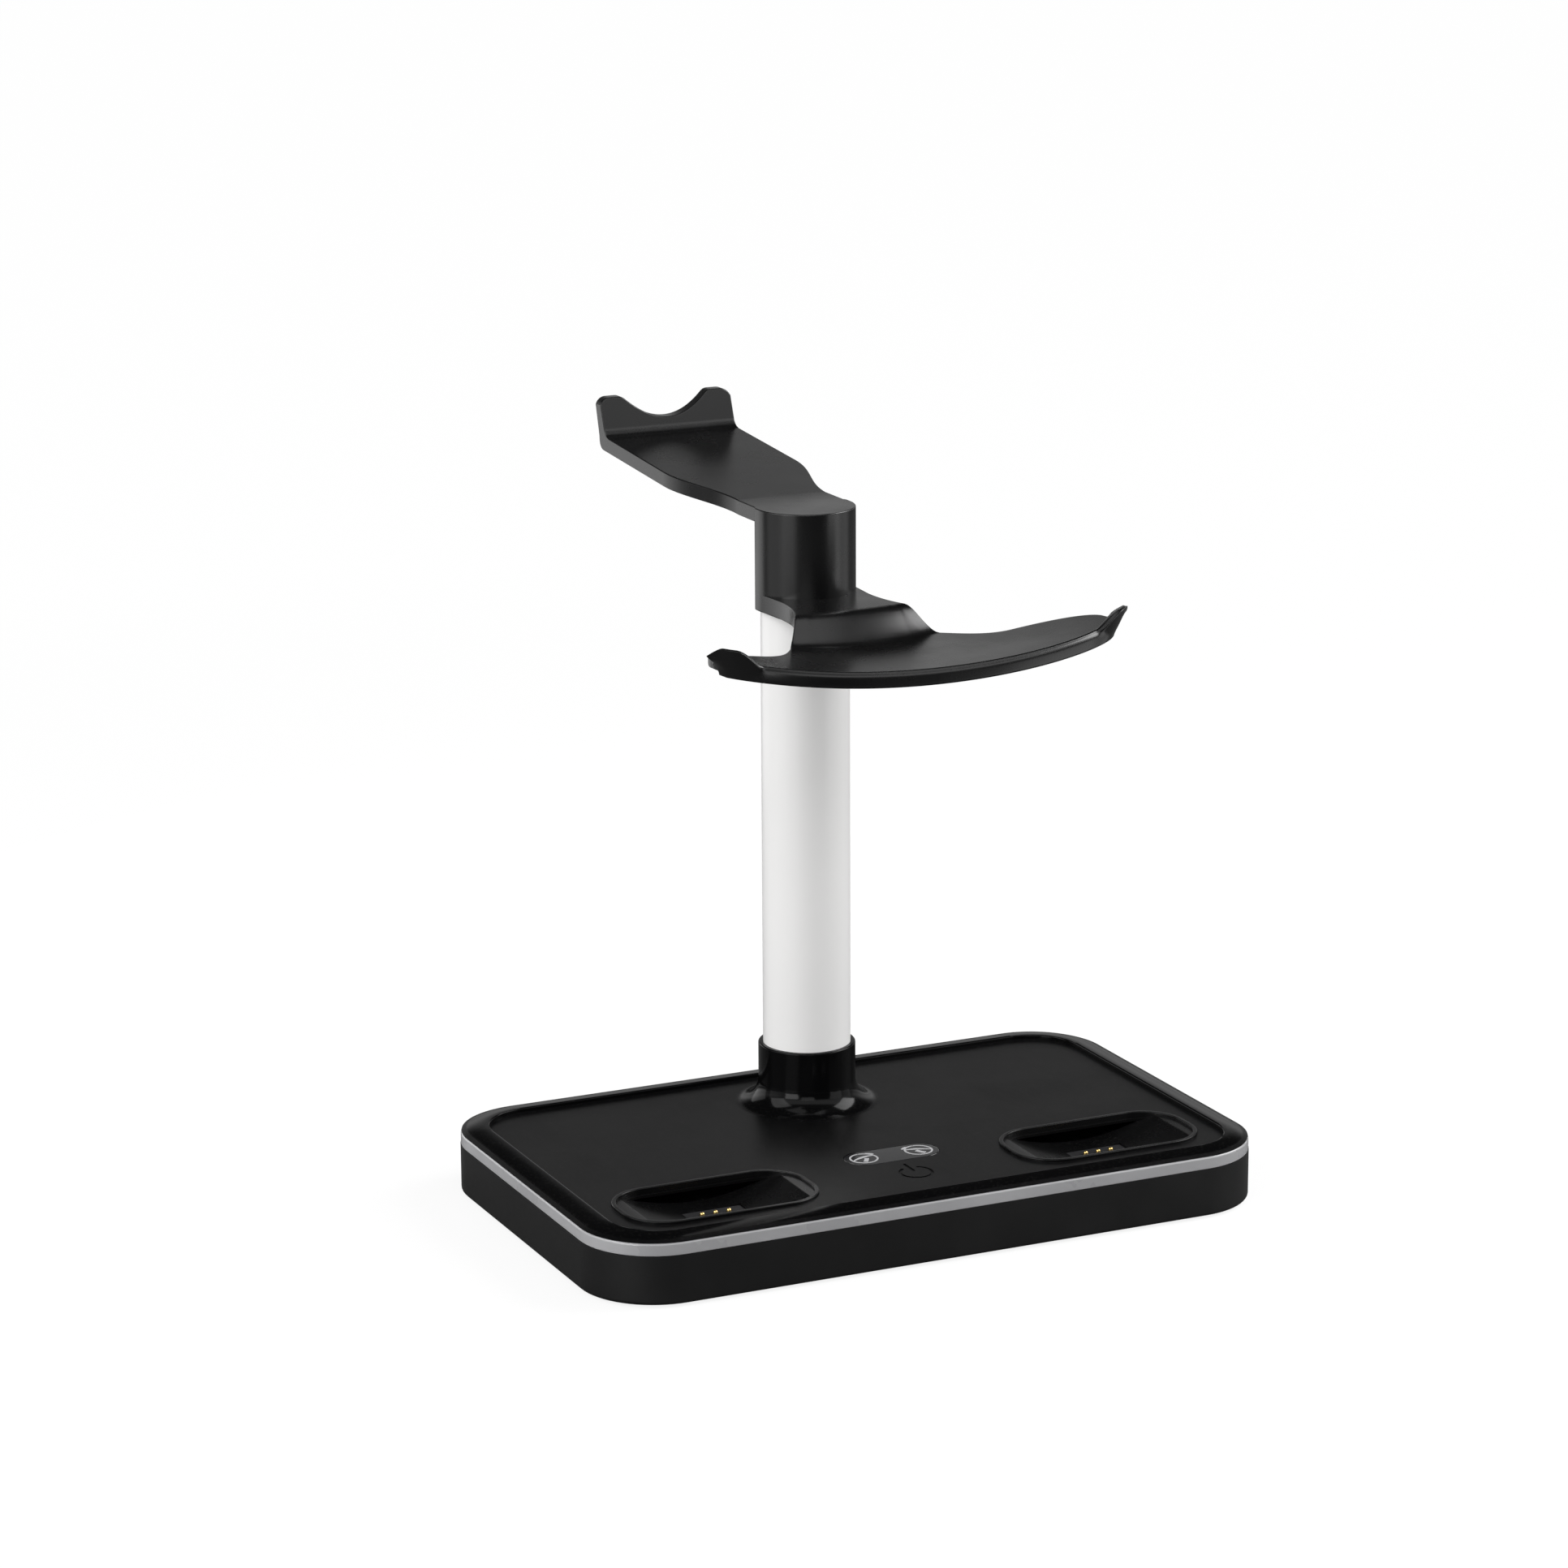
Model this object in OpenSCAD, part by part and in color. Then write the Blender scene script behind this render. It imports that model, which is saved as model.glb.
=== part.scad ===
// Display and charging stand for a headset and two hand controllers.
// Millimetres, +Z up, origin at the centre of the surface that the stand rests on.
// Front is -Y: the tray reaches forward over the base and the arm reaches back.

/* [Base] */
// Width of the base
base_w = 230; // [190:1:280]
// Depth of the base
base_d = 144; // [119:1:180]
// Corner radius of the base in plan
base_r = 25; // [20:1:32]
// Height of the black side wall
wall_h = 15.7; // [15:0.1:22]
// Thickness of the side wall
wall_t = 2.4; // [1.8:0.1:3]
// Thickness of the floor of the lower shell
floor_t = 2.2; // [1.8:0.1:3]
// Rounding of the lower edge of the side wall
wall_round = 1.2; // [0.5:0.1:2]
// How far the rubber mat stands out below the shell
foot_h = 0.8; // [0.5:0.1:2]

/* [Light band] */
// Height of the diffuser band
band_h = 4.1; // [3:0.1:6]
// Thickness of the diffuser band
band_t = 3; // [2:0.1:3.5]

/* [Cover] */
// Rise of the crowned rim from its outer to its inner edge
rim_rise = 1.9; // [1:0.1:3]
// Width of the rim at the sides and the rear
rim_side = 9.2; // [8:0.1:12]
// Width of the rim at the front
rim_front = 6.5; // [6:0.1:12]
// Depth of the sunken floor below the inner edge of the rim
floor_drop = 1.3; // [0.8:0.1:1.8]
// Thickness of the cover below the sunken floor
cover_t = 2; // [1.6:0.1:2.4]

/* [Pole] */
// Outer diameter of the pole
pole_d = 28.5; // [24:0.5:32]
// Wall of the pole
pole_wall = 1.5; // [1:0.1:2.5]
// Distance of the pole axis from the rear edge of the base
pole_rear = 37.2; // [32:0.1:42]
// Height of the top of the collar above the sunken floor
collar_h = 20.3; // [14:0.1:30]
// Wall of the collar
collar_wall = 1.5; // [1.2:0.1:3]
// Radius of the concave foot of the collar
collar_foot_r = 8; // [4:0.5:10]

/* [Bracket head] */
// Height of the top of the head above the rest surface
head_top = 218.9; // [190:0.1:260]
// Height of the round part of the head
head_h = 27.2; // [22:0.1:34]
// Radius of the round front of the head
head_r = 16.25; // [16:0.05:18]
// Length of the straight sides behind the pole axis
head_back = 4; // [2:0.5:8]
// Thickness of the roof above the pole
head_roof = 12; // [11:0.5:16]

/* [Rear arm] */
// Distance from the pole axis to the fold of the saddle
arm_reach = 106.4; // [90:0.1:120]
// Half width of the arm near the head
arm_neck = 15.6; // [13:0.1:16]
// Half width of the arm at the saddle
arm_half = 23.9; // [20:0.1:28]
// Thickness of the arm
arm_t = 4.8; // [4:0.1:7]
// Rise of the arm from the head to the saddle
arm_rise = 6.6; // [2:0.1:12]
// Height of the ears above the fold
ear_h = 12.4; // [8:0.1:20]
// Depth of the notch between the ears
notch_depth = 7.5; // [4:0.1:10]
// Half width of the notch
notch_half = 16.8; // [10:0.1:19]
// How far the top of the saddle leans back
saddle_lean = 3.8; // [0:0.1:6]

/* [Front tray] */
// Distance from the pole axis to the front edge of the tray
tray_reach = 98.6; // [90:0.1:110]
// Half width of the tray at its tips
tray_half = 67; // [62:0.5:72]
// Thickness of the tray
tray_t = 3.1; // [2.4:0.1:4]
// How far the front edge runs back at the tips
tray_sweep = 17; // [14:0.5:20]
// Rise of the tray at 60 mm from its middle
tray_smile = 5.8; // [3:0.1:8]
// Drop from the neck to the tray
tray_drop = 9; // [6:0.1:12]
// Thickness of the neck
neck_t = 5.6; // [4:0.1:8]
// Height of the front lip above the tray
lip_h = 1; // [0.5:0.1:2]
// Extra height of the horns at the tips
horn_h = 4.7; // [3:0.1:8]
// How far the horns lean outwards
horn_lean = 5; // [2:0.1:6]

/* [Controller docks] */
// Distance of the middle of each dock from the side edge of the base
dock_side = 48; // [44:0.5:52]
// Distance of the middle of the docks from the front edge of the base
dock_front = 31; // [29:0.5:34]
// Width of a cradle
cradle_w = 65; // [58:0.5:68]
// Depth of a cradle
cradle_d = 34; // [30:0.5:36]
// Corner radius of a cradle
cradle_r = 14; // [8:0.5:15]
// Height of the cradle lip above the sunken floor
cradle_lip = 0.8; // [0.4:0.1:1.5]
// Depth of the dish below the sunken floor
dish_depth = 5.5; // [4:0.1:6]
// Radius of the dish, which fits the ring of a controller
dish_r = 70; // [60:1:90]
// Diameter of a contact pin
pin_d = 1.5; // [1:0.1:2]
// Distance between contact pins
pin_pitch = 4.5; // [4:0.1:6]
// Travel of a contact pin
pin_travel = 1.2; // [0.6:0.1:1.3]

/* [Status window] */
// Width of the window
window_w = 32.5; // [28:0.5:36]
// Depth of the window in plan
window_d = 13; // [10:0.5:15]
// Distance of the middle of the window from the front edge of the base
window_front = 44.4; // [42:0.1:46]

/* [Hidden] */
$fn = 96;

// Clearances
fit_gap = 0.1;
slide_gap = 0.05;
loose_gap = 0.2;
over = 0.5;

// Places on the base
pole_y = base_d / 2 - pole_rear;
dock_x = base_w / 2 - dock_side;
dock_y = base_d / 2 - dock_front;
window_y = base_d / 2 - window_front;
touch_y = window_y + 18.4;

// Levels of the base
shell_z = foot_h;
floor_top = shell_z + floor_t;
wall_top = shell_z + wall_h;
band_top = wall_top + band_h;
band_inset = 0.15;
cover_inset = 0.4;
rim_top = band_top + rim_rise;
cover_floor = rim_top - floor_drop;
cover_under = cover_floor - cover_t;
rim_r = (pow(rim_side - cover_inset, 2) + pow(rim_rise, 2)) / (2 * rim_rise);
recess_w = base_w - 2 * rim_side;
recess_d = base_d - rim_side - rim_front;
recess_y = (rim_front - rim_side) / 2;
recess_r = base_r - rim_side + 1;
band_round_top = 0.8;
band_round_low = 0.3;

// Screwed joint of shell and cover
boss_d = 7;
boss_top = 12;
screw_d = 2.9;
screw_hole_d = 3.4;
screw_head_d = 5.4;
screw_head_h = 2;
screw_len = 14;
inlet_board_size = [16, 13];
inlet_x = 28;
boss_corner = [base_w / 2 - 17, base_d / 2 - 18];
boss_front = [dock_x - cradle_w / 2 + 5.5, 14 - base_d / 2];
boss_rear = [inlet_x + inlet_board_size[0] / 2 + boss_d / 2 + 0.5, base_d / 2 - 14];
boss_at = concat(
    [for (sx = [-1, 1], sy = [-1, 1]) [sx * boss_corner[0], sy * boss_corner[1]]],
    [for (sx = [-1, 1], p = [boss_front, boss_rear]) [sx * p[0], p[1]]]
);

// Rubber mat under the shell
mat_w = base_w - 40;
mat_d = base_d - 42;
mat_r = 12;
mat_sunk = 0.4;

// Weight plate and its seat
plate_z = 6;
plate_r = 6;
plate_t = 3;
plate_w = base_w - 46;
plate_d = base_d - 44;
plate_top = plate_z + plate_t;
plate_screw_len = 6;
plate_screw_at = [for (sx = [-1, 1], sy = [-1, 1]) [sx * (plate_w / 2 - 6), sy * (plate_d / 2 - 6)]];
rib_t = 1.6;

// Light strip inside the band
skirt_inset = 5.6;
skirt_t = 1.6;
skirt_bottom = boss_top + 0.5;
strip_t = 0.3;
strip_z = wall_top - 1.2;
strip_h = cover_under - strip_z;
led_size = [3.2, 1.2, 1.8];
led_pitch = 16;

// Pole, foot and clamping rod
foot_flange_d = 38;
foot_flange_h = 3;
foot_plug_h = 24;
pole_bottom = plate_top + foot_flange_h;
sleeve_bottom = pole_bottom + 1;
sleeve_wall = 2.4;
collar_bore_d = pole_d + 2 * fit_gap;
collar_d = collar_bore_d + 2 * collar_wall;
collar_top = cover_floor + collar_h;
rod_d = 6;
rod_hole_d = 6.4;
rod_thread_d = 6.1;
nut_flat = 10;
nut_h = 3.1;
washer_d = 18;
washer_t = 1.6;
nut_well_d = 22;
socket_top = head_top - head_roof;
insert_d = 9;
insert_h = 9;

// Bracket
neck_top = head_top - head_h;
neck_under = neck_top - neck_t;
fold_y = pole_y + arm_reach;
fold_z = head_top + arm_rise;
ear_top = fold_z + ear_h;
saddle_t = 4.2;
tray_z = neck_top - tray_drop;
tray_front = pole_y - tray_reach;
tray_hinge_y = pole_y - 41.8;
tray_tilt = 0.05;
ridge_y = pole_y - 35.3;
drop_len = 13;
arm_bend_y = pole_y + 17;
arm_grow_y = pole_y + 57;

// Docks and electronics
ledge = 2.5;
ledge_drop = 1.2;
belly_t = 2;
dish_bottom = cover_floor - dish_depth;
belly_bottom = dish_bottom - belly_t;
block_size = [20, 8];
block_flange = [24, 12];
block_top = dish_bottom + 0.3;
block_bottom = belly_bottom - 3.2;
pin_tip = dish_bottom + 1.5;
pin_shoulder_d = 2.2;
pin_shoulder_h = 1;
pin_tail = 0.7;
pin_roof = block_top - 1.8;
contact_board_t = 0.8;
contact_board_size = [30, 14];
board_t = 1.6;
board_top = cover_under - 2.2;
board_bottom = board_top - board_t;
board_size = [2 * (dock_x - cradle_w / 2 + ledge - 3), 48];
board_y = -window_y - 4.4;
board_post_at = [for (sx = [-1, 1], sy = [-1, 1])
    [sx * (board_size[0] / 2 - 5), board_y + sy * (board_size[1] / 2 - 5)]];
board_post_d = 6;
board_screw_d = 1.9;
board_screw_head_d = 3.8;
board_screw_head_h = 1.2;
window_t = 1.2;
window_ledge = 1.3;
lens_t = cover_t - window_t;
touch_d = 9;
status_led_x = 9.6;
inlet_size = [9, 7.4, 3.2];
inlet_board_z = 7;
inlet_z = inlet_board_z + board_t + inlet_size[2] / 2;
flex_t = 0.3;
flex_w = 8;
power_flex_w = 5.5;

// Height of the crowned rim at a distance from its outer edge
function crown(inset) =
    rim_top - rim_r + sqrt(pow(rim_r, 2) - pow(min(0, inset - rim_side), 2));

// Smooth step from 0 to 1
function smooth(u) = let (c = min(1, max(0, u))) c * c * (3 - 2 * c);

// Point on a cubic curve with four control points
function bezier(p, t) =
    pow(1 - t, 3) * p[0] + 3 * pow(1 - t, 2) * t * p[1] + 3 * (1 - t) * t * t * p[2] + pow(t, 3) * p[3];

// Points of a circular arc
function arc(c, r, a0, a1, steps) =
    [for (i = [0:steps]) let (a = a0 + (a1 - a0) * i / steps) c + r * [cos(a), sin(a)]];

// Outline with four round corners
module round_outline(w, d, r) {
    square([w - 2 * r, d], center = true);
    if (d > 2 * r + 0.01) {
        square([w, d - 2 * r], center = true);
        for (sx = [-1, 1], sy = [-1, 1]) translate([sx * (w / 2 - r), sy * (d / 2 - r)]) circle(r);
    } else {
        for (sx = [-1, 1]) translate([sx * (w / 2 - r), 0]) circle(r);
    }
}

module round_plate(w, d, r, h) {
    linear_extrude(h) round_outline(w, d, r);
}

// Sweeps a profile of inset and height round the plan of the base
module base_run() {
    for (side = [0:3]) {
        along = side % 2 == 0 ? base_w : base_d;
        across = side % 2 == 0 ? base_d : base_w;
        rotate([0, 0, 90 * side]) {
            translate([base_r - along / 2, -across / 2, 0])
                rotate([90, 0, 90])
                linear_extrude(along - 2 * base_r) children();
            translate([along / 2 - base_r, base_r - across / 2, 0])
                rotate([0, 0, -90])
                rotate_extrude(angle = 90) translate([base_r, 0]) mirror([1, 0]) children();
        }
    }
}

// Base

module wall_profile() {
    polygon(concat(
        arc([wall_round, shell_z + wall_round], wall_round, 270, 180, 8),
        [[0, wall_top], [wall_t, wall_top], [wall_t, shell_z]]
    ));
}

module inlet_outline(grow) {
    half = inlet_size[0] / 2 - inlet_size[2] / 2;
    for (s = [-1, 1]) translate([s * half, 0]) circle(inlet_size[2] / 2 + grow);
    square([2 * half, inlet_size[2] + 2 * grow], center = true);
}

module base_shell() {
    color("#1b1b1d")
    difference() {
        union() {
            base_run() wall_profile();
            translate([0, 0, shell_z])
                round_plate(base_w - 2 * wall_round, base_d - 2 * wall_round, base_r - wall_round, floor_t);
            for (p = boss_at) translate([p[0], p[1], shell_z]) cylinder(d = boss_d, h = boss_top - shell_z);
            for (p = plate_screw_at) translate([p[0], p[1], shell_z]) cylinder(d = 8, h = plate_z - shell_z);
            translate([0, pole_y, shell_z]) cylinder(d = nut_well_d + 6, h = plate_z - shell_z);
            for (sy = [-1, 0, 1])
                translate([-plate_w / 2 + 4, sy * plate_d / 3 - rib_t / 2, shell_z])
                    cube([plate_w - 8, rib_t, plate_z - shell_z]);
            for (sx = [-2:2])
                translate([sx * plate_w / 6 - rib_t / 2, -plate_d / 2 + 4, shell_z])
                    cube([rib_t, plate_d - 8, plate_z - shell_z]);
            for (sx = [-1, 1])
                translate([inlet_x + sx * 6, base_d / 2 - wall_t - 9, shell_z])
                    cylinder(d = 4, h = inlet_board_z - shell_z);
        }
        for (p = boss_at) translate([p[0], p[1], shell_z]) {
            translate([0, 0, -over]) cylinder(d = screw_hole_d, h = boss_top);
            translate([0, 0, -over]) cylinder(d = screw_head_d + 2 * fit_gap, h = screw_head_h + over);
        }
        for (p = plate_screw_at)
            translate([p[0], p[1], plate_z - plate_screw_len + plate_t - 0.3])
                cylinder(d = screw_d + 2 * slide_gap, h = plate_screw_len);
        translate([0, pole_y, shell_z - over]) cylinder(d = nut_well_d, h = plate_z);
        translate([0, 0, shell_z - over])
            round_plate(mat_w + 2 * loose_gap, mat_d + 2 * loose_gap, mat_r + loose_gap, mat_sunk + over);
        translate([inlet_x, base_d / 2 + over, inlet_z])
            rotate([90, 0, 0]) linear_extrude(wall_t + 2 * over) inlet_outline(0.3);
    }
}

module rubber_mat() {
    color("#2a2a2a") round_plate(mat_w, mat_d, mat_r, foot_h + mat_sunk);
}

module screw(shaft_d, head_d, head_h, shaft_len) {
    cylinder(d = shaft_d, h = head_h + shaft_len);
    difference() {
        cylinder(d = head_d, h = head_h);
        translate([0, 0, -over]) cylinder(d = head_d / 2.2, h = head_h / 2 + over, $fn = 6);
    }
}

module base_screws() {
    color("#3a3a3c")
    for (p = boss_at) translate([p[0], p[1], shell_z]) difference() {
        screw(screw_d, screw_head_d, screw_head_h, screw_len);
        translate([0, 0, -over]) cylinder(d = screw_head_d / 2.2, h = screw_head_h / 2 + over, $fn = 6);
    }
}

module weight_plate() {
    color("#8a8d90")
    translate([0, 0, plate_z]) difference() {
        round_plate(plate_w, plate_d, plate_r, plate_t);
        translate([0, pole_y, -over]) cylinder(d = rod_hole_d, h = plate_t + 2 * over);
        for (p = plate_screw_at) translate([p[0], p[1], -over]) cylinder(d = screw_hole_d, h = plate_t + 2 * over);
    }
}

module plate_screws() {
    color("#b9bcc0")
    for (p = plate_screw_at) translate([p[0], p[1], plate_top + screw_head_h]) mirror([0, 0, 1])
        difference() {
            screw(screw_d, screw_head_d, screw_head_h, plate_screw_len);
            translate([0, 0, -over]) cylinder(d = screw_head_d / 2.2, h = screw_head_h / 2 + over, $fn = 6);
        }
}

module pole_foot() {
    plug_d = pole_d - 2 * pole_wall - 2 * fit_gap;
    color("#9a9da0")
    translate([0, pole_y, plate_top]) rotate_extrude() polygon([
        [rod_hole_d / 2, 0], [foot_flange_d / 2, 0], [foot_flange_d / 2, foot_flange_h],
        [plug_d / 2, foot_flange_h], [plug_d / 2, foot_flange_h + foot_plug_h - 2],
        [plug_d / 2 - 2, foot_flange_h + foot_plug_h], [rod_hole_d / 2, foot_flange_h + foot_plug_h]
    ]);
}

// Light band

module band_profile() {
    polygon(concat(
        arc([band_inset + band_round_low, wall_top + band_round_low], band_round_low, 270, 180, 4),
        arc([band_inset + band_round_top, band_top - band_round_top], band_round_top, 180, 90, 8),
        [[band_inset + band_t, band_top], [band_inset + band_t, wall_top]]
    ));
}

module light_ring() {
    color("#b9babc") base_run() band_profile();
}

module light_strip() {
    outer = skirt_inset - strip_t;
    color("#e8e6da")
    difference() {
        base_run() polygon([
            [outer, strip_z], [skirt_inset, strip_z], [skirt_inset, strip_z + strip_h], [outer, strip_z + strip_h]
        ]);
        translate([-1, base_d / 2 - skirt_inset - over, strip_z - over]) cube([2, 2, strip_h + 2 * over]);
    }
}

// Lamps stand on the straight stretches of the strip and face the band
module strip_leds() {
    inner = skirt_inset - strip_t;
    led_z = strip_z + strip_h / 2 - led_size[2] / 2;
    color("#f4efc8")
    for (side = [0:3]) {
        along = side % 2 == 0 ? base_w : base_d;
        across = side % 2 == 0 ? base_d : base_w;
        count = floor((along - 2 * base_r - led_size[0]) / led_pitch / 2);
        rotate([0, 0, 90 * side])
            for (i = [-count:count])
                translate([i * led_pitch - led_size[0] / 2, -across / 2 + inner - led_size[1], led_z])
                    cube(led_size);
    }
}

// Cover

module cover_profile() {
    step_in = 3.4;
    run_in = rim_side + 5;
    polygon(concat(
        [[step_in, cover_under], [step_in, band_top], [cover_inset, band_top]],
        [for (i = [0:10]) let (x = cover_inset + (rim_side - cover_inset) * i / 10) [x, crown(x) + 0.2 * (1 - i / 10)]],
        [[run_in, rim_top], [run_in, cover_under]]
    ));
}

module collar() {
    foot_in = collar_d / 2;
    edge_round = 0.5;
    translate([0, pole_y, 0]) rotate_extrude() polygon(concat(
        [[collar_bore_d / 2, sleeve_bottom], [collar_bore_d / 2 + sleeve_wall, sleeve_bottom],
            [collar_bore_d / 2 + sleeve_wall, cover_under], [foot_in + collar_foot_r, cover_under]],
        arc([foot_in + collar_foot_r, cover_floor + collar_foot_r], collar_foot_r, 270, 180, 12),
        arc([foot_in - edge_round, collar_top - edge_round], edge_round, 0, 90, 4),
        [[collar_bore_d / 2, collar_top]]
    ));
}

module top_cover() {
    color("#0d0d0f")
    difference() {
        union() {
            difference() {
                union() {
                    base_run() cover_profile();
                    translate([0, 0, cover_under])
                        round_plate(base_w - 2 * rim_side - 4, base_d - 2 * rim_side - 4, base_r - rim_side - 2,
                            rim_top - cover_under);
                }
                translate([0, recess_y, cover_floor]) round_plate(recess_w, recess_d, recess_r, rim_top);
            }
            base_run() translate([skirt_inset, skirt_bottom])
                square([skirt_t, cover_under - skirt_bottom + over]);
            for (p = boss_at) translate([p[0], p[1], boss_top])
                cylinder(d = boss_d, h = cover_under - boss_top + over);
            for (p = board_post_at) translate([p[0], p[1], board_top])
                cylinder(d = board_post_d, h = cover_under - board_top + over);
            collar();
        }
        for (p = boss_at) translate([p[0], p[1], boss_top - over])
            cylinder(d = screw_d + 2 * slide_gap, h = shell_z + screw_head_h + screw_len - boss_top + 2 * over);
        for (p = board_post_at) translate([p[0], p[1], board_top - over])
            cylinder(d = board_screw_d + 2 * slide_gap, h = 3);
        translate([0, pole_y, sleeve_bottom - over])
            cylinder(d = collar_bore_d, h = collar_top - sleeve_bottom + 2 * over);
        translate([0, -window_y, cover_floor - window_t])
            round_plate(window_w, window_d, window_d / 2, window_t + over);
        translate([0, -window_y, cover_under - over])
            round_plate(window_w - 2 * window_ledge, window_d - 2 * window_ledge, window_d / 2 - window_ledge,
                cover_t + 2 * over);
        for (s = [-1, 1]) translate([s * dock_x, -dock_y, 0]) {
            translate([0, 0, cover_floor - ledge_drop])
                round_plate(cradle_w, cradle_d, cradle_r, ledge_drop + over);
            translate([0, 0, cover_under - over])
                round_plate(cradle_w - 2 * ledge, cradle_d - 2 * ledge, cradle_r - ledge, cover_t + 2 * over);
        }
    }
}

module status_window() {
    color("#26282c")
    translate([0, -window_y, 0]) {
        translate([0, 0, cover_floor - window_t])
            round_plate(window_w - 2 * fit_gap, window_d - 2 * fit_gap, window_d / 2 - fit_gap, window_t);
        translate([0, 0, cover_under])
            round_plate(window_w - 2 * window_ledge - 2 * fit_gap, window_d - 2 * window_ledge - 2 * fit_gap,
                window_d / 2 - window_ledge - fit_gap, lens_t + over);
    }
}

// Controller docks

module cradle() {
    lip_w = 1.5;
    color("#17181a")
    difference() {
        union() {
            translate([0, 0, cover_floor - ledge_drop])
                round_plate(cradle_w - 2 * fit_gap, cradle_d - 2 * fit_gap, cradle_r - fit_gap,
                    ledge_drop + cradle_lip);
            translate([0, 0, belly_bottom])
                round_plate(cradle_w - 2 * ledge - 2 * fit_gap, cradle_d - 2 * ledge - 2 * fit_gap,
                    cradle_r - ledge - fit_gap, cover_floor - belly_bottom);
        }
        intersection() {
            translate([0, 0, dish_bottom - over])
                round_plate(cradle_w - 2 * lip_w, cradle_d - 2 * lip_w, cradle_r - lip_w, 4 * dish_depth);
            translate([0, cradle_d / 2, dish_bottom + dish_r])
                rotate([90, 0, 0]) cylinder(r = dish_r, h = cradle_d, $fn = 180);
        }
        translate([0, 0, cover_floor])
            round_plate(cradle_w - 2 * lip_w, cradle_d - 2 * lip_w, cradle_r - lip_w, cradle_lip + over);
        translate([0, 0, belly_bottom - over])
            linear_extrude(belly_t + dish_depth)
            square([block_size[0] + 2 * fit_gap, block_size[1] + 2 * fit_gap], center = true);
    }
}

module contact_block() {
    color("#2b2c2e")
    difference() {
        union() {
            translate([0, 0, block_bottom]) linear_extrude(belly_bottom - block_bottom)
                square(block_flange, center = true);
            translate([0, 0, block_bottom]) linear_extrude(block_top - block_bottom)
                square(block_size, center = true);
        }
        for (i = [-1:1]) translate([i * pin_pitch, 0, block_bottom]) {
            translate([0, 0, -over]) cylinder(d = pin_d + 2 * slide_gap, h = block_top - block_bottom + 2 * over);
            translate([0, 0, -over]) cylinder(d = pin_shoulder_d + 2 * slide_gap, h = pin_roof - block_bottom + over);
        }
    }
}

module contact_pins() {
    color("#d8b24a")
    for (i = [-1:1]) translate([i * pin_pitch, 0, 0]) {
        translate([0, 0, pin_roof - pin_shoulder_h - pin_tail])
            cylinder(d = pin_d, h = pin_tip - pin_d / 2 - pin_roof + pin_shoulder_h + pin_tail);
        translate([0, 0, pin_roof - pin_shoulder_h]) cylinder(d = pin_shoulder_d, h = pin_shoulder_h);
        translate([0, 0, pin_tip - pin_d / 2]) sphere(d = pin_d, $fn = 32);
    }
}

module contact_board() {
    color("#1f5a3c")
    translate([0, 0, block_bottom - contact_board_t]) linear_extrude(contact_board_t)
        square(contact_board_size, center = true);
}

// Flat lead from a contact board to the main board, drawn for the right dock
module dock_flex() {
    start_x = dock_x - contact_board_size[0] / 2;
    end_x = board_size[0] / 2 - 5;
    rise_x = dock_x - cradle_w / 2 + ledge;
    low = block_bottom;
    color("#c98a2e")
    translate([0, -dock_y + flex_w / 2, 0]) rotate([90, 0, 0]) linear_extrude(flex_w) polygon([
        [start_x + 2.5, low], [rise_x - 0.5, low], [board_size[0] / 2 - 1, board_bottom - flex_t],
        [end_x, board_bottom - flex_t], [end_x, board_bottom], [board_size[0] / 2 - 1, board_bottom],
        [rise_x - 0.4, low + flex_t], [start_x + 2.5, low + flex_t]
    ]);
}

module at_dock(side) {
    translate([side * dock_x, -dock_y, 0]) children();
}

// Electronics below the cover

module main_board() {
    color("#1f5a3c")
    translate([0, board_y, board_bottom]) difference() {
        linear_extrude(board_t) square(board_size, center = true);
        for (p = board_post_at) translate([p[0], p[1] - board_y, -over])
            cylinder(d = board_screw_d + 2 * fit_gap, h = board_t + 2 * over);
    }
}

module board_screws() {
    color("#b9bcc0")
    for (p = board_post_at) translate([p[0], p[1], board_bottom - board_screw_head_h])
        screw(board_screw_d, board_screw_head_d, board_screw_head_h, board_t + 2);
}

module status_leds() {
    color("#f4efc8")
    for (s = [-1, 1]) translate([s * status_led_x - 1.6, -window_y - 0.8, board_top]) cube([3.2, 1.6, 0.8]);
}

module touch_pad() {
    pad_t = 0.3;
    color("#c9a24a")
    translate([0, -touch_y, 0]) {
        translate([0, 0, cover_under - pad_t]) cylinder(d = touch_d, h = pad_t);
        translate([0, 0, board_top]) cylinder(d = 3, h = cover_under - board_top);
    }
}

module inlet_board() {
    color("#1f5a3c")
    translate([inlet_x - inlet_board_size[0] / 2, base_d / 2 - wall_t - 0.6 - inlet_board_size[1], inlet_board_z])
        cube([inlet_board_size[0], inlet_board_size[1], board_t]);
}

module power_inlet() {
    depth = inlet_size[1];
    color("#a9acb0")
    translate([inlet_x, base_d / 2 - 0.8, inlet_z]) rotate([90, 0, 0]) difference() {
        linear_extrude(depth) inlet_outline(0);
        translate([0, 0, -over]) linear_extrude(depth - 1 + over) difference() {
            inlet_outline(-0.35);
            square([6.4, 0.7], center = true);
        }
    }
}

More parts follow.
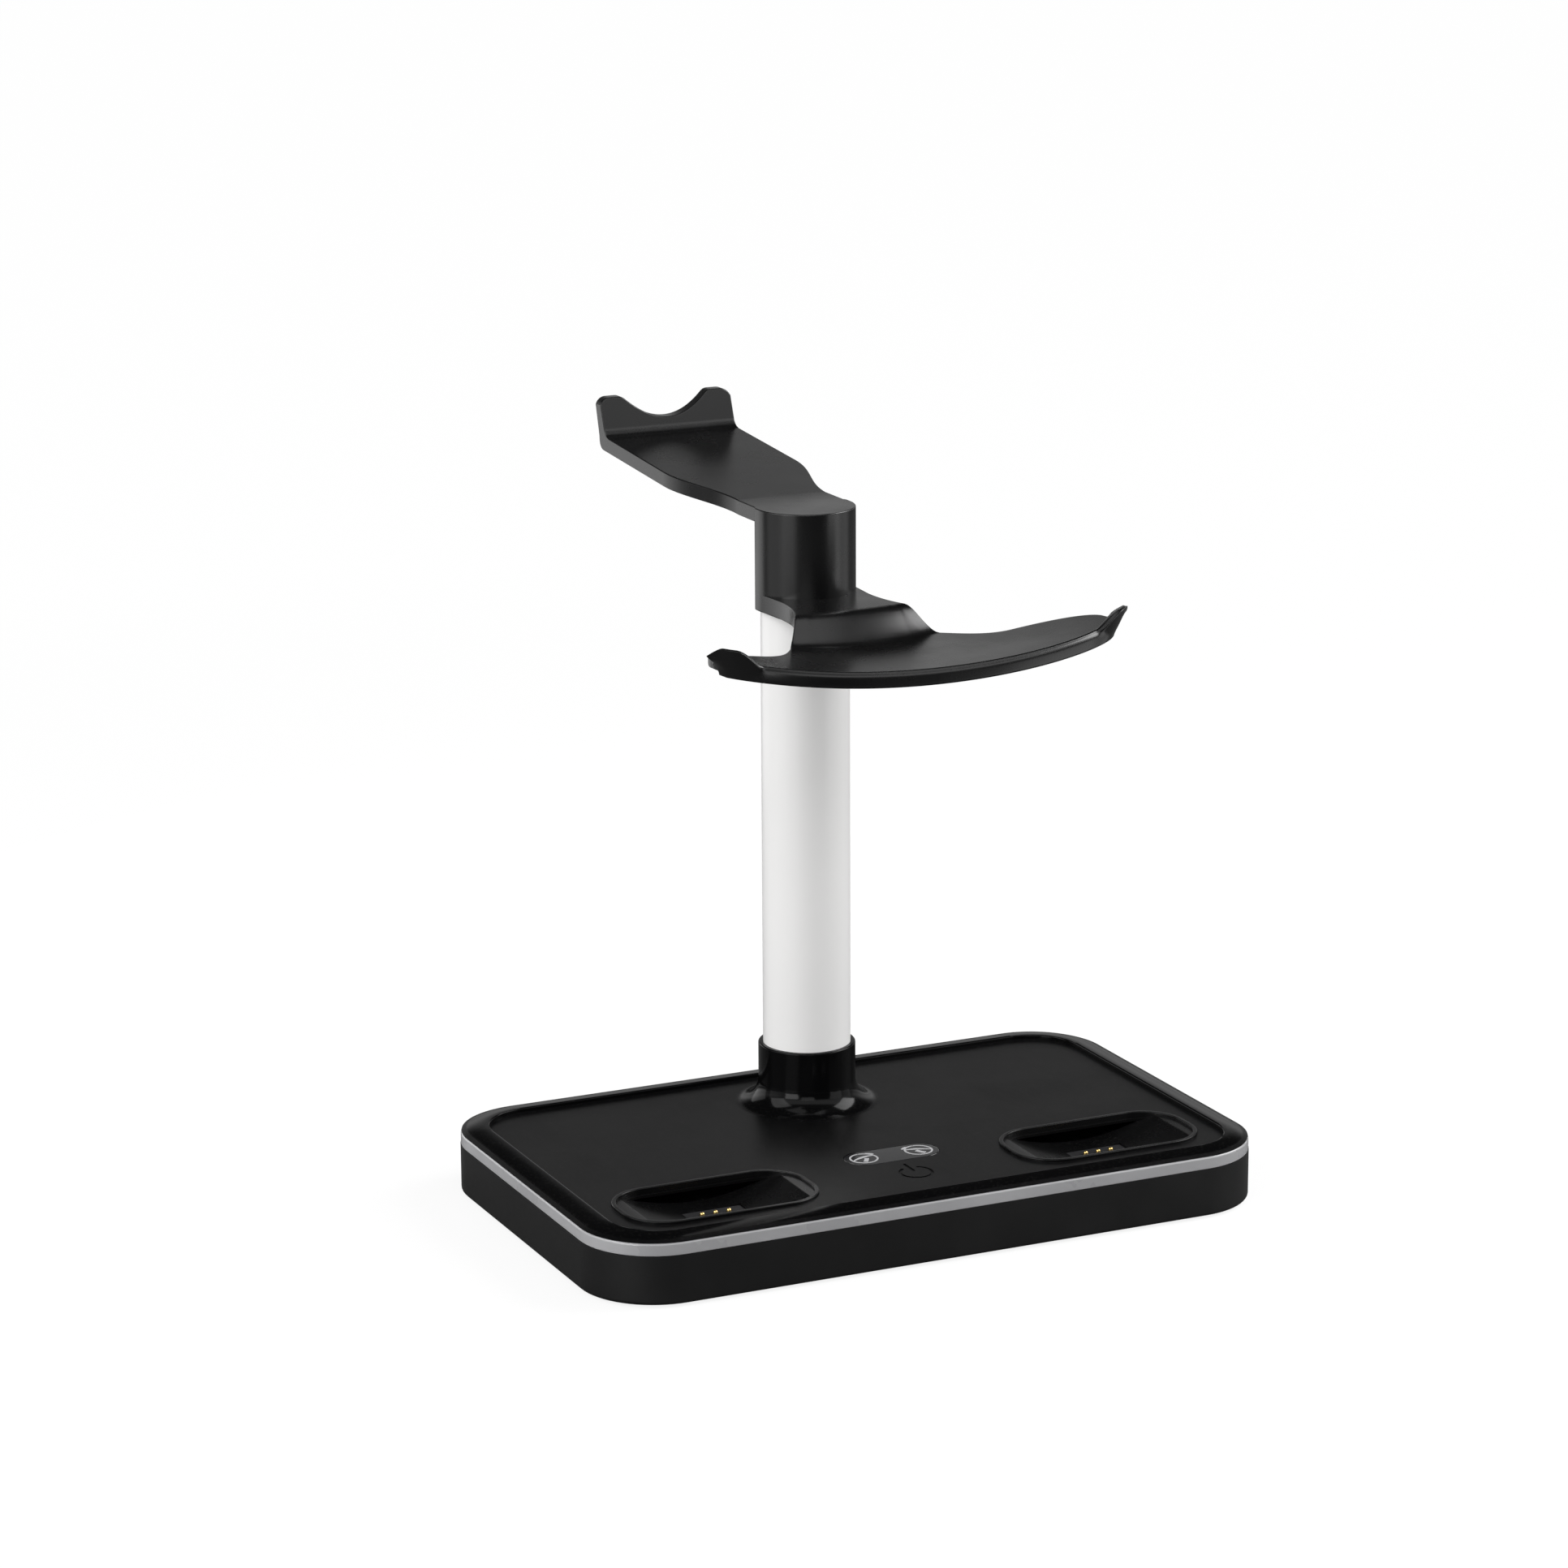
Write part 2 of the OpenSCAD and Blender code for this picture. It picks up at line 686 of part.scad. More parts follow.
module power_flex() {
    start_y = base_d / 2 - wall_t - 0.6 - inlet_board_size[1];
    edge_y = plate_d / 2;
    end_y = board_y + board_size[1] / 2;
    high = inlet_board_z + board_t;
    color("#c98a2e")
    translate([inlet_x - inlet_board_size[0] / 2, 0, 0]) rotate([90, 0, 90]) linear_extrude(power_flex_w) polygon([
        [start_y + 4, high], [start_y - 1, high], [edge_y + 1, plate_top], [end_y + 4, plate_top],
        [end_y - 2, board_bottom - flex_t], [end_y - 7, board_bottom - flex_t], [end_y - 7, board_bottom],
        [end_y - 1.8, board_bottom], [end_y + 4.2, plate_top + flex_t], [edge_y + 1, plate_top + flex_t],
        [start_y - 1, high + flex_t], [start_y + 4, high + flex_t]
    ]);
}

// Pole and clamping rod

module pole() {
    color("#f2f2f4")
    translate([0, pole_y, pole_bottom]) difference() {
        cylinder(d = pole_d, h = socket_top - loose_gap - pole_bottom);
        translate([0, 0, -over]) cylinder(d = pole_d - 2 * pole_wall, h = socket_top);
    }
}

module tie_rod() {
    color("#b9bcc0")
    translate([0, pole_y, shell_z + 0.5]) cylinder(d = rod_d, h = socket_top + insert_h - 2 - shell_z - 0.5);
}

module rod_washer() {
    color("#b9bcc0")
    translate([0, pole_y, plate_z - washer_t]) difference() {
        cylinder(d = washer_d, h = washer_t);
        translate([0, 0, -over]) cylinder(d = rod_hole_d, h = washer_t + 2 * over);
    }
}

module rod_nut() {
    color("#b9bcc0")
    translate([0, pole_y, plate_z - washer_t - nut_h]) difference() {
        cylinder(d = nut_flat / cos(30), h = nut_h, $fn = 6);
        translate([0, 0, -over]) cylinder(d = rod_thread_d, h = nut_h + 2 * over);
    }
}

module head_insert() {
    color("#c9a24a")
    translate([0, pole_y, socket_top]) difference() {
        cylinder(d = insert_d, h = insert_h);
        translate([0, 0, -over]) cylinder(d = rod_thread_d, h = insert_h + 2 * over);
    }
}

// Bracket

function arm_side(y) = arm_neck + (arm_half - arm_neck) * smooth((y - arm_bend_y) / (arm_grow_y - arm_bend_y));

module arm_plan(inset) {
    steps = 22;
    back = fold_y + saddle_lean + saddle_t + 4;
    ys = [for (i = [0:steps]) pole_y + (back - pole_y) * i / steps];
    polygon(concat(
        [for (y = ys) [arm_side(y) - inset, y]],
        [for (i = [steps:-1:0]) [inset - arm_side(ys[i]), ys[i]]]
    ));
}

// Side view of the arm with the upright saddle plate, in Y and Z
module arm_profile() {
    bend = 4;
    lean_a = atan(saddle_lean / ear_h);
    outer_y = fold_y + saddle_t;
    polygon(concat(
        [[pole_y, head_top], [arm_bend_y, head_top], [fold_y - bend, fold_z - 0.2]],
        arc([fold_y - bend, fold_z + bend], bend, 280, 360 - lean_a, 6),
        [[fold_y + saddle_lean, ear_top + 1], [outer_y + saddle_lean, ear_top + 1], [outer_y, fold_z]],
        arc([outer_y - 3.6, fold_z - arm_t + 3.4], 3.4, 0, -85, 6),
        [[arm_bend_y, head_top - arm_t], [pole_y, head_top - arm_t]]
    ));
}

// Front view of the saddle with its two ears, in X and Z
module saddle_outline() {
    corner = 4;
    steps = 20;
    side = arm_half + 0.3;
    notch = [for (i = [-steps:steps])
        let (u = abs(i) / steps)
        [notch_half * i / steps, ear_top - notch_depth * (0.5 + 0.5 * cos(180 * pow(u, 1.75)))]];
    polygon(concat(
        [[-side, head_top - 2 * arm_t]],
        arc([corner - side, ear_top - corner], corner, 180, 90, 6),
        notch,
        arc([side - corner, ear_top - corner], corner, 90, 0, 6),
        [[side, head_top - 2 * arm_t]]
    ));
}

module arm_block() {
    intersection() {
        translate([0, 0, head_top - 2 * arm_t]) linear_extrude(ear_top - head_top + 4 * arm_t) arm_plan(0);
        translate([-2 * arm_half, 0, 0]) rotate([90, 0, 90]) linear_extrude(4 * arm_half) arm_profile();
        translate([0, 2 * fold_y, 0]) rotate([90, 0, 0]) linear_extrude(2 * fold_y) saddle_outline();
    }
}

// Pockets below the arm, which leave its edge and a grid of ribs
module arm_pockets() {
    edge = 2.4;
    depth = 2.2;
    y0 = arm_bend_y;
    y1 = fold_y - 4;
    slope = arm_rise / (fold_y - arm_bend_y);
    bays = 5;
    difference() {
        intersection() {
            translate([0, 0, head_top - 2 * arm_t]) linear_extrude(4 * arm_t) arm_plan(edge);
            translate([-2 * arm_half, 0, 0]) rotate([90, 0, 90]) linear_extrude(4 * arm_half) polygon([
                [y0, head_top - arm_t - over], [y1, head_top - arm_t + slope * (y1 - y0) - over],
                [y1, head_top - arm_t + slope * (y1 - y0) + depth], [y0, head_top - arm_t + depth]
            ]);
        }
        translate([-rib_t / 2, y0 - over, head_top - 2 * arm_t]) cube([rib_t, y1 - y0 + 2 * over, 4 * arm_t]);
        for (i = [1:bays - 1])
            translate([-2 * arm_half, y0 + (y1 - y0) * i / bays - rib_t / 2, head_top - 2 * arm_t])
                cube([4 * arm_half, rib_t, 4 * arm_t]);
    }
}

module head_block() {
    low = neck_under - 0.15;
    translate([0, pole_y, low]) linear_extrude(head_top - low) {
        circle(head_r);
        translate([-head_r, 0]) square([2 * head_r, head_back - 1.5]);
        translate([1.5 - head_r, 0]) square([2 * head_r - 3, head_back]);
        for (s = [-1, 1]) translate([s * (head_r - 1.5), head_back - 1.5]) circle(1.5);
    }
}

// Plan of the tray and its neck, right half: front edge, wing end, neck side
front_curve = [[0, tray_front], [0.51 * tray_half, tray_front], [0.95 * tray_half, tray_front + 2.5],
    [tray_half, tray_front + tray_sweep]];
wing_curve = [[tray_half - 0.5, tray_front + tray_sweep + 6], [tray_half + 0.3, pole_y - 68.3],
    [tray_half - 8.5, pole_y - 60.8], [43, pole_y - 59.8]];
shoulder_curve = [[43, pole_y - 59.8], [33.5, pole_y - 59.6], [29.5, pole_y - 48.8], [24, pole_y - 40.8]];
side_curve = [[24, pole_y - 40.8], [17.5, pole_y - 32.3], [head_r - 3, pole_y - 22], [head_r - 0.1, pole_y - 1.8]];

// Stations across the sheet: the rear end of each runs round the plan, the front end along the front edge
stations = 26;
function rear_point(i) =
    i <= 4 ? [side_curve[3][0] * i / 4, side_curve[3][1]] :
    i <= 10 ? bezier(side_curve, 1 - (i - 4) / 6) :
    i <= 16 ? bezier(shoulder_curve, 1 - (i - 10) / 6) :
    bezier(wing_curve, 1 - (i - 16) / (stations - 16));
function front_param(i) = lookup(i, [[0, 0], [4, 0.09], [10, 0.21], [16, 0.49], [stations, 1]]);
function front_point(i) = bezier(front_curve, front_param(i));
function front_normal(i) =
    let (t = front_param(i), d = bezier(front_curve, min(1, t + 0.01)) - bezier(front_curve, max(0, t - 0.01)))
    [d[1], -d[0]] / norm(d);

// Heights of the sheet: level neck, rounded drop, then the curved tray
function smile(x) = tray_smile * pow(x / 60, 2);
function tray_level(p) = tray_z + tray_tilt * (tray_hinge_y - p[1]) + smile(p[0]);
function drop(p, shift) = smooth((ridge_y + 0.006 * p[0] * p[0] + shift - p[1]) / drop_len);
function skin_top(p) = let (s = drop(p, 0)) neck_top * (1 - s) + tray_level(p) * s;
function skin_low(p) = let (s = drop(p, 3.5)) neck_under * (1 - s) + (tray_level(p) - tray_t) * s;

// Height and lean of the lip: low along the front, high at the horns, falling at the very tips
function lip_rise(x) =
    lip_h + horn_h * smooth((x - tray_half + 10) / 6) - 3 * pow(max(0, x - tray_half + 2) / 2, 2);
function lip_lean(x) = horn_lean * smooth((x - tray_half + 11) / 8);

// Closed ring of points through the sheet at one station of the right half
function tray_ring(i) = let (
    rear = rear_point(i),
    front = front_point(i),
    out = front_normal(i),
    run = norm(front - rear),
    ahead = (front - rear) / run,
    k = min(1, run / 12),
    y0 = rear[1] - 1.2 * k,
    ya = min(3, y0 - 0.5 * k),
    yb = max(min(-14, ya - 6), ya - 0.3 * run),
    yc = front[1] - 4.2 * k * out[1],
    levels = concat([(y0 + ya) / 2], [for (j = [0:5]) ya + (yb - ya) * j / 5], [for (j = [1:3]) yb + (yc - yb) * j / 3.4]),
    mids = [for (y = levels) rear + (front - rear) * (rear[1] - y) / (rear[1] - front[1])],
    top = lip_rise(front[0]),
    lean = lip_lean(front[0]),
    edge = [[-3.7, 0.02], [-3.2, 0.15], [lean * 0.4 - 2.9, top * 0.6], [lean - 2.5, top - 0.1], [lean - 1.9, top],
        [lean - 1.3, top - 0.15], [lean - 1, top - 0.6], [lean * 0.3 - 0.4, -0.6], [0, -tray_t],
        [-0.2, -tray_t - 0.6], [-0.8, -tray_t - 0.8], [-3.7, -tray_t]],
    base = tray_level(front - 3.7 * k * out)
) concat(
    [for (q = [[0, -1], [0.3, -0.3], [1, 0]]) let (p = rear + ahead * q[0] * k) [p[0], p[1], skin_top(p) + q[1]]],
    [for (p = mids) [p[0], p[1], skin_top(p)]],
    [for (q = edge) let (e = q[0] < 0 ? q[0] * k : q[0]) [front[0] + out[0] * e, front[1] + out[1] * e, base + q[1]]],
    [for (j = [len(mids) - 1:-1:0]) [mids[j][0], mids[j][1], skin_low(mids[j])]],
    [for (q = [[1, 0], [0.3, 0.3], [0, 1]]) let (p = rear + ahead * q[0] * k) [p[0], p[1], skin_low(p) + q[1]]]
);

module tray_block() {
    rings = concat(
        [for (i = [stations:-1:1]) [for (p = tray_ring(i)) [-p[0], p[1], p[2]]]],
        [for (i = [0:stations]) tray_ring(i)]
    );
    n = len(rings[0]);
    last = len(rings) - 1;
    half = n / 2;
    polyhedron(
        points = [for (r = rings, p = r) p],
        faces = concat(
            [for (j = [0:half - 2]) [j, j + 1, n - 1 - j]],
            [for (j = [0:half - 2]) [j + 1, n - 2 - j, n - 1 - j]],
            [for (j = [0:half - 2]) [last * n + j, last * n + n - 1 - j, last * n + j + 1]],
            [for (j = [0:half - 2]) [last * n + j + 1, last * n + n - 1 - j, last * n + n - 2 - j]],
            [for (i = [0:last - 1], j = [0:n - 1]) let (k = (j + 1) % n)
                [i * n + j, (i + 1) * n + j, (i + 1) * n + k]],
            [for (i = [0:last - 1], j = [0:n - 1]) let (k = (j + 1) % n)
                [i * n + j, (i + 1) * n + k, i * n + k]]
        )
    );
}

module headset_bracket() {
    color("#111113")
    difference() {
        union() {
            difference() {
                arm_block();
                arm_pockets();
            }
            head_block();
            tray_block();
        }
        translate([0, pole_y, neck_under - over])
            cylinder(d = pole_d + 2 * fit_gap, h = socket_top - neck_under + over);
        translate([0, pole_y, socket_top - over]) cylinder(d = insert_d + 2 * slide_gap, h = insert_h + 1 + over);
    }
}

base_shell();
rubber_mat();
base_screws();
weight_plate();
plate_screws();
pole_foot();
light_ring();
light_strip();
strip_leds();
top_cover();
status_window();
status_leds();
touch_pad();
main_board();
board_screws();
inlet_board();
power_inlet();
power_flex();
at_dock(-1) cradle();  // left_cradle
at_dock(1) cradle();  // right_cradle
at_dock(-1) contact_block();  // left_contact_block
at_dock(1) contact_block();  // right_contact_block
at_dock(-1) contact_pins();  // left_contact_pins
at_dock(1) contact_pins();  // right_contact_pins
at_dock(-1) contact_board();  // left_contact_board
at_dock(1) contact_board();  // right_contact_board
mirror([1, 0, 0]) dock_flex();  // left_flex
dock_flex();  // right_flex
pole();
tie_rod();
rod_washer();
rod_nut();
head_insert();
headset_bracket();
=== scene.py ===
"""Looks of a display and charging stand for a headset and two hand controllers."""

import logging
import math
from collections.abc import Callable, Iterable, Sequence
from dataclasses import dataclass, field
from enum import Enum

import bmesh
import bpy
from mathutils import Matrix, Vector


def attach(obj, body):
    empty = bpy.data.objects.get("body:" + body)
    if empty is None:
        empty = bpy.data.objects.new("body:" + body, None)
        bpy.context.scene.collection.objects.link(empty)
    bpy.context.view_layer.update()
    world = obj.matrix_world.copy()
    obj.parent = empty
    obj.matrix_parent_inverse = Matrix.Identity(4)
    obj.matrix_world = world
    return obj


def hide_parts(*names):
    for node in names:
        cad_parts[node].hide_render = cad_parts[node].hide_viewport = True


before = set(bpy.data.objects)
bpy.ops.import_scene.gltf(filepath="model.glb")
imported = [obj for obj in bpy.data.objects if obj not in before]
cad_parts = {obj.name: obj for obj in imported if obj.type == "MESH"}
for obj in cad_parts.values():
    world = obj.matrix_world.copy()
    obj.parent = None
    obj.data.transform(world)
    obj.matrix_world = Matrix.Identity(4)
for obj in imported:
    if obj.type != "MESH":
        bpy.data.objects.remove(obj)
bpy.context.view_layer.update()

LOG = logging.getLogger("headset_stand")
MM = 0.001
Colour = tuple[float, float, float]
Point2 = tuple[float, float]
Point3 = tuple[float, float, float]


class Body(Enum):
    """Bodies of the stand that pieces ride on."""

    STAND = "stand"
    LEFT_PINS = "left_pins"
    RIGHT_PINS = "right_pins"


class Side(Enum):
    """Left or right dock, seen from the front."""

    LEFT = -1
    RIGHT = 1


# Small helpers for meshes


def deselect() -> None:
    """Leaves edit mode and clears the selection."""
    if bpy.context.object and bpy.context.object.mode != "OBJECT":
        bpy.ops.object.mode_set(mode="OBJECT")
    bpy.ops.object.select_all(action="DESELECT")


def select_only(piece: bpy.types.Object) -> None:
    """Makes one object the only selected and active one.

    Args:
        piece: Object to select.
    """
    deselect()
    piece.select_set(True)
    bpy.context.view_layer.objects.active = piece


def place_in_mesh(piece: bpy.types.Object) -> None:
    """Moves an object's place, turn and scale into its mesh."""
    select_only(piece)
    bpy.ops.object.transform_apply(location=True, rotation=True, scale=True)


def finish_modifier(piece: bpy.types.Object, name: str) -> None:
    """Applies one modifier of a piece."""
    select_only(piece)
    bpy.ops.object.modifier_apply(modifier=name)


def round_edges(piece: bpy.types.Object, width: float, angle: float = 35.0, segments: int = 3) -> None:
    """Rounds the sharp edges of a piece.

    Args:
        piece: Object to work on.
        width: Width of the rounding in millimetres.
        angle: Smallest angle of an edge that is rounded, in degrees.
        segments: Number of strips in the rounding.
    """
    bevel = piece.modifiers.new("round", "BEVEL")
    bevel.width = width * MM
    bevel.segments = segments
    bevel.limit_method = "ANGLE"
    bevel.angle_limit = math.radians(angle)
    bevel.use_clamp_overlap = False
    bevel.miter_outer = "MITER_ARC"
    finish_modifier(piece, bevel.name)


def smooth(piece: bpy.types.Object, angle: float = 30.0, flat_above: float | None = None) -> None:
    """Shades a piece smooth up to an angle, with normals that keep flat faces flat.

    Args:
        piece: Object to shade.
        angle: Angle in degrees above which an edge stays sharp.
        flat_above: Height in millimetres above which flat faces stay flat, or None for everywhere.
    """
    select_only(piece)
    bpy.ops.object.shade_smooth_by_angle(angle=math.radians(angle))
    weighted = piece.modifiers.new("normals", "WEIGHTED_NORMAL")
    weighted.keep_sharp = True
    weighted.weight = 60
    if flat_above is not None:
        group = piece.vertex_groups.new(name="flats")
        group.add([v.index for v in piece.data.vertices if v.co.z > flat_above * MM], 1.0, "REPLACE")
        weighted.vertex_group = group.name
    finish_modifier(piece, weighted.name)


def cut_or_join(piece: bpy.types.Object, other: bpy.types.Object, how: str) -> None:
    """Combines a piece with another solid and deletes that solid.

    Args:
        piece: Object that keeps the result.
        other: Solid that is joined, cut away or intersected.
        how: UNION, DIFFERENCE or INTERSECT.
    """
    combine = piece.modifiers.new("combine", "BOOLEAN")
    combine.operation = how
    combine.solver = "EXACT"
    combine.object = other
    finish_modifier(piece, combine.name)
    bpy.data.objects.remove(other, do_unlink=True)


def merge_points(piece: bpy.types.Object, gap: float = 0.002) -> None:
    """Merges points closer than a gap in millimetres."""
    select_only(piece)
    bpy.ops.object.mode_set(mode="EDIT")
    bpy.ops.mesh.select_all(action="SELECT")
    bpy.ops.mesh.remove_doubles(threshold=gap * MM)
    bpy.ops.object.mode_set(mode="OBJECT")


def tidy_flats(piece: bpy.types.Object) -> None:
    """Merges the points and flat faces that a join leaves behind."""
    select_only(piece)
    bpy.ops.object.mode_set(mode="EDIT")
    bpy.ops.mesh.select_all(action="SELECT")
    bpy.ops.mesh.remove_doubles(threshold=0.01 * MM)
    bpy.ops.mesh.dissolve_limited(angle_limit=math.radians(0.3))
    bpy.ops.object.mode_set(mode="OBJECT")


def prism(name: str, outline: Sequence[Point2], low: float, high: float, axis: str = "Z") -> bpy.types.Object:
    """Extrudes a closed outline along an axis.

    Args:
        name: Name of the new object.
        outline: Corners in millimetres, in X and Y, in Y and Z, or in X and Z.
        low: Lower end of the extrusion in millimetres.
        high: Upper end of the extrusion in millimetres.
        axis: Axis of the extrusion, X, Y or Z.

    Returns:
        The new solid, with its place in its mesh.
    """
    deselect()
    bpy.ops.mesh.primitive_circle_add(vertices=len(outline), radius=1.0, fill_type="NGON")
    piece = bpy.context.object
    piece.name = piece.data.name = name

    def corner(p: Point2) -> Vector:
        """Gives the place of an outline's corner at the lower end."""
        a, b = p
        ways = {"X": (low, a, b), "Y": (a, low, b), "Z": (a, b, low)}
        return Vector(ways[axis]) * MM

    for vertex, p in zip(piece.data.vertices, outline):
        vertex.co = corner(p)
    step = Vector({"X": (1, 0, 0), "Y": (0, 1, 0), "Z": (0, 0, 1)}[axis]) * (high - low) * MM
    select_only(piece)
    bpy.ops.object.mode_set(mode="EDIT")
    bpy.ops.mesh.select_all(action="SELECT")
    bpy.ops.mesh.extrude_region_move(TRANSFORM_OT_translate={"value": step})
    bpy.ops.mesh.select_all(action="SELECT")
    bpy.ops.mesh.normals_make_consistent(inside=False)
    bpy.ops.object.mode_set(mode="OBJECT")
    return piece


def round_loops(piece: bpy.types.Object, width: float, picked: Callable[[Vector], bool],
                segments: int = 3, angle: float = 50.0) -> None:
    """Rounds only the sharp edges whose middle a test picks.

    Args:
        piece: Object to work on.
        width: Width of the rounding in millimetres.
        picked: Test of an edge's middle, in millimetres.
        segments: Number of strips in the rounding.
        angle: Smallest angle of an edge that is rounded, in degrees.
    """
    select_only(piece)
    bpy.ops.object.mode_set(mode="EDIT")
    bpy.ops.mesh.select_mode(type="EDGE")
    bpy.ops.mesh.select_all(action="DESELECT")
    mesh = bmesh.from_edit_mesh(piece.data)
    limit = math.radians(angle)
    for edge in mesh.edges:
        if len(edge.link_faces) == 2 and edge.calc_face_angle(0.0) > limit:
            middle = (edge.verts[0].co + edge.verts[1].co) / (2 * MM)
            edge.select_set(picked(middle))
    bmesh.update_edit_mesh(piece.data)
    bpy.ops.mesh.bevel(offset=width * MM, segments=segments, profile=0.5, affect="EDGES")
    bpy.ops.object.mode_set(mode="OBJECT")


def copy_of_node(node: str, name: str) -> bpy.types.Object:
    """Copies a CAD node and makes one clean surface of its loose triangles.

    Args:
        node: Name of the CAD node.
        name: Name of the copy.

    Returns:
        The copy, at the origin.
    """
    deselect()
    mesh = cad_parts[node].data.copy()
    mesh.name = name
    piece = bpy.data.objects.new(name, mesh)
    bpy.context.scene.collection.objects.link(piece)
    mesh.materials.clear()
    select_only(piece)
    if mesh.has_custom_normals:
        bpy.ops.mesh.customdata_custom_splitnormals_clear()
    bpy.ops.object.mode_set(mode="EDIT")
    bpy.ops.mesh.select_all(action="SELECT")
    bpy.ops.mesh.remove_doubles(threshold=0.002 * MM)
    bpy.ops.object.mode_set(mode="OBJECT")
    return piece


def ease(u: float) -> float:
    """Gives a smooth step from 0 to 1."""
    c = min(1.0, max(0.0, u))
    return c * c * (3 - 2 * c)


def cubic(p: Sequence[Point2], t: float) -> Point2:
    """Gives a point on a cubic curve with four control points."""
    k = ((1 - t) ** 3, 3 * (1 - t) ** 2 * t, 3 * (1 - t) * t * t, t ** 3)
    return (sum(w * q[0] for w, q in zip(k, p)), sum(w * q[1] for w, q in zip(k, p)))


def arc(centre: Point2, radius: float, start: float, end: float, steps: int) -> list[Point2]:
    """Gives the points of a circular arc, with its angles in degrees."""
    angles = [math.radians(start + (end - start) * i / steps) for i in range(steps + 1)]
    return [(centre[0] + radius * math.cos(a), centre[1] + radius * math.sin(a)) for a in angles]


def ring_outline(centre: Point2, radius: float, half: float, start: float, end: float) -> list[Point2]:
    """Gives the outline of an open ring with round ends.

    Args:
        centre: Centre of the ring.
        radius: Radius of its middle line.
        half: Half of the stroke.
        start: Start angle in degrees.
        end: End angle in degrees.

    Returns:
        The corners of the outline.
    """
    x, y = centre

    def on_ring(angle: float) -> Point2:
        """Gives a point of the middle line."""
        a = math.radians(angle)
        return (x + radius * math.cos(a), y + radius * math.sin(a))

    return (arc(centre, radius + half, start, end, 64)
            + arc(on_ring(end), half, end, end + 180, 6)[1:-1]
            + arc(centre, radius - half, end, start, 64)
            + arc(on_ring(start), half, start + 180, start + 360, 6)[1:-1])


# Shared surface effects


class EffectGroups:
    """Node groups that several finishes place with their own values."""

    def __init__(self) -> None:
        """Builds each group once."""
        self.grain = self._grain()
        self.film = self._film()
        self.wear = self._wear()
        self.brushed = self._brushed()

    @staticmethod
    def _new(name: str, inputs: dict[str, float], outputs: Iterable[str]) -> tuple[bpy.types.NodeTree, bpy.types.Node,
                                                                               bpy.types.Node]:
        """Starts a group with named number sockets.

        Args:
            name: Name of the group.
            inputs: Socket names with their default values.
            outputs: Names of the number outputs.

        Returns:
            The group, its input node and its output node.
        """
        group = bpy.data.node_groups.new(name, "ShaderNodeTree")
        for label, value in inputs.items():
            socket = group.interface.new_socket(label, in_out="INPUT", socket_type="NodeSocketFloat")
            socket.default_value = value
        for label in outputs:
            group.interface.new_socket(label, in_out="OUTPUT", socket_type="NodeSocketFloat")
        return group, group.nodes.new("NodeGroupInput"), group.nodes.new("NodeGroupOutput")

    def _grain(self) -> bpy.types.NodeTree:
        """Fine spark-eroded texture of a mould, as a height and a mottle mask."""
        group, given, out = self._new("mould_grain", {"Scale": 1600.0, "Mottle": 60.0}, ("Height", "Mottle"))
        links = group.links
        place = group.nodes.new("ShaderNodeTexCoord")
        fine = group.nodes.new("ShaderNodeTexNoise")
        fine.inputs["Detail"].default_value = 3.0
        fine.inputs["Roughness"].default_value = 0.6
        cells = group.nodes.new("ShaderNodeTexVoronoi")
        cells.feature = "SMOOTH_F1"
        broad = group.nodes.new("ShaderNodeTexNoise")
        broad.inputs["Detail"].default_value = 4.0
        blend = group.nodes.new("ShaderNodeMath")
        blend.operation = "MULTIPLY_ADD"
        blend.inputs[1].default_value = 0.6
        for node in (fine, cells, broad):
            links.new(place.outputs["Object"], node.inputs["Vector"])
        links.new(given.outputs["Scale"], fine.inputs["Scale"])
        links.new(given.outputs["Scale"], cells.inputs["Scale"])
        links.new(given.outputs["Mottle"], broad.inputs["Scale"])
        links.new(cells.outputs["Distance"], blend.inputs[0])
        links.new(fine.outputs["Fac"], blend.inputs[2])
        links.new(blend.outputs[0], out.inputs["Height"])
        links.new(broad.outputs["Fac"], out.inputs["Mottle"])
        return group

    def _film(self) -> bpy.types.NodeTree:
        """Thin dust that settles on what faces up, as a mask."""
        group, given, out = self._new("settled_dust", {"Amount": 0.1, "Scale": 900.0}, ("Mask",))
        links = group.links
        place = group.nodes.new("ShaderNodeTexCoord")
        specks = group.nodes.new("ShaderNodeTexNoise")
        specks.inputs["Detail"].default_value = 2.0
        drift = group.nodes.new("ShaderNodeTexNoise")
        drift.inputs["Scale"].default_value = 22.0
        drift.inputs["Detail"].default_value = 3.0
        pick = group.nodes.new("ShaderNodeMapRange")
        pick.inputs["From Min"].default_value = 0.56
        pick.inputs["From Max"].default_value = 0.78
        facing = group.nodes.new("ShaderNodeNewGeometry")
        split = group.nodes.new("ShaderNodeSeparateXYZ")
        upward = group.nodes.new("ShaderNodeMapRange")
        upward.inputs["From Min"].default_value = 0.4
        product = [group.nodes.new("ShaderNodeMath") for _ in range(3)]
        for node in product:
            node.operation = "MULTIPLY"
        links.new(place.outputs["Object"], specks.inputs["Vector"])
        links.new(place.outputs["Object"], drift.inputs["Vector"])
        links.new(given.outputs["Scale"], specks.inputs["Scale"])
        links.new(specks.outputs["Fac"], pick.inputs["Value"])
        links.new(facing.outputs["Normal"], split.inputs["Vector"])
        links.new(split.outputs["Z"], upward.inputs["Value"])
        links.new(pick.outputs["Result"], product[0].inputs[0])
        links.new(upward.outputs["Result"], product[0].inputs[1])
        links.new(drift.outputs["Fac"], product[1].inputs[0])
        links.new(product[0].outputs[0], product[1].inputs[1])
        links.new(product[1].outputs[0], product[2].inputs[0])
        links.new(given.outputs["Amount"], product[2].inputs[1])
        links.new(product[2].outputs[0], out.inputs["Mask"])
        return group

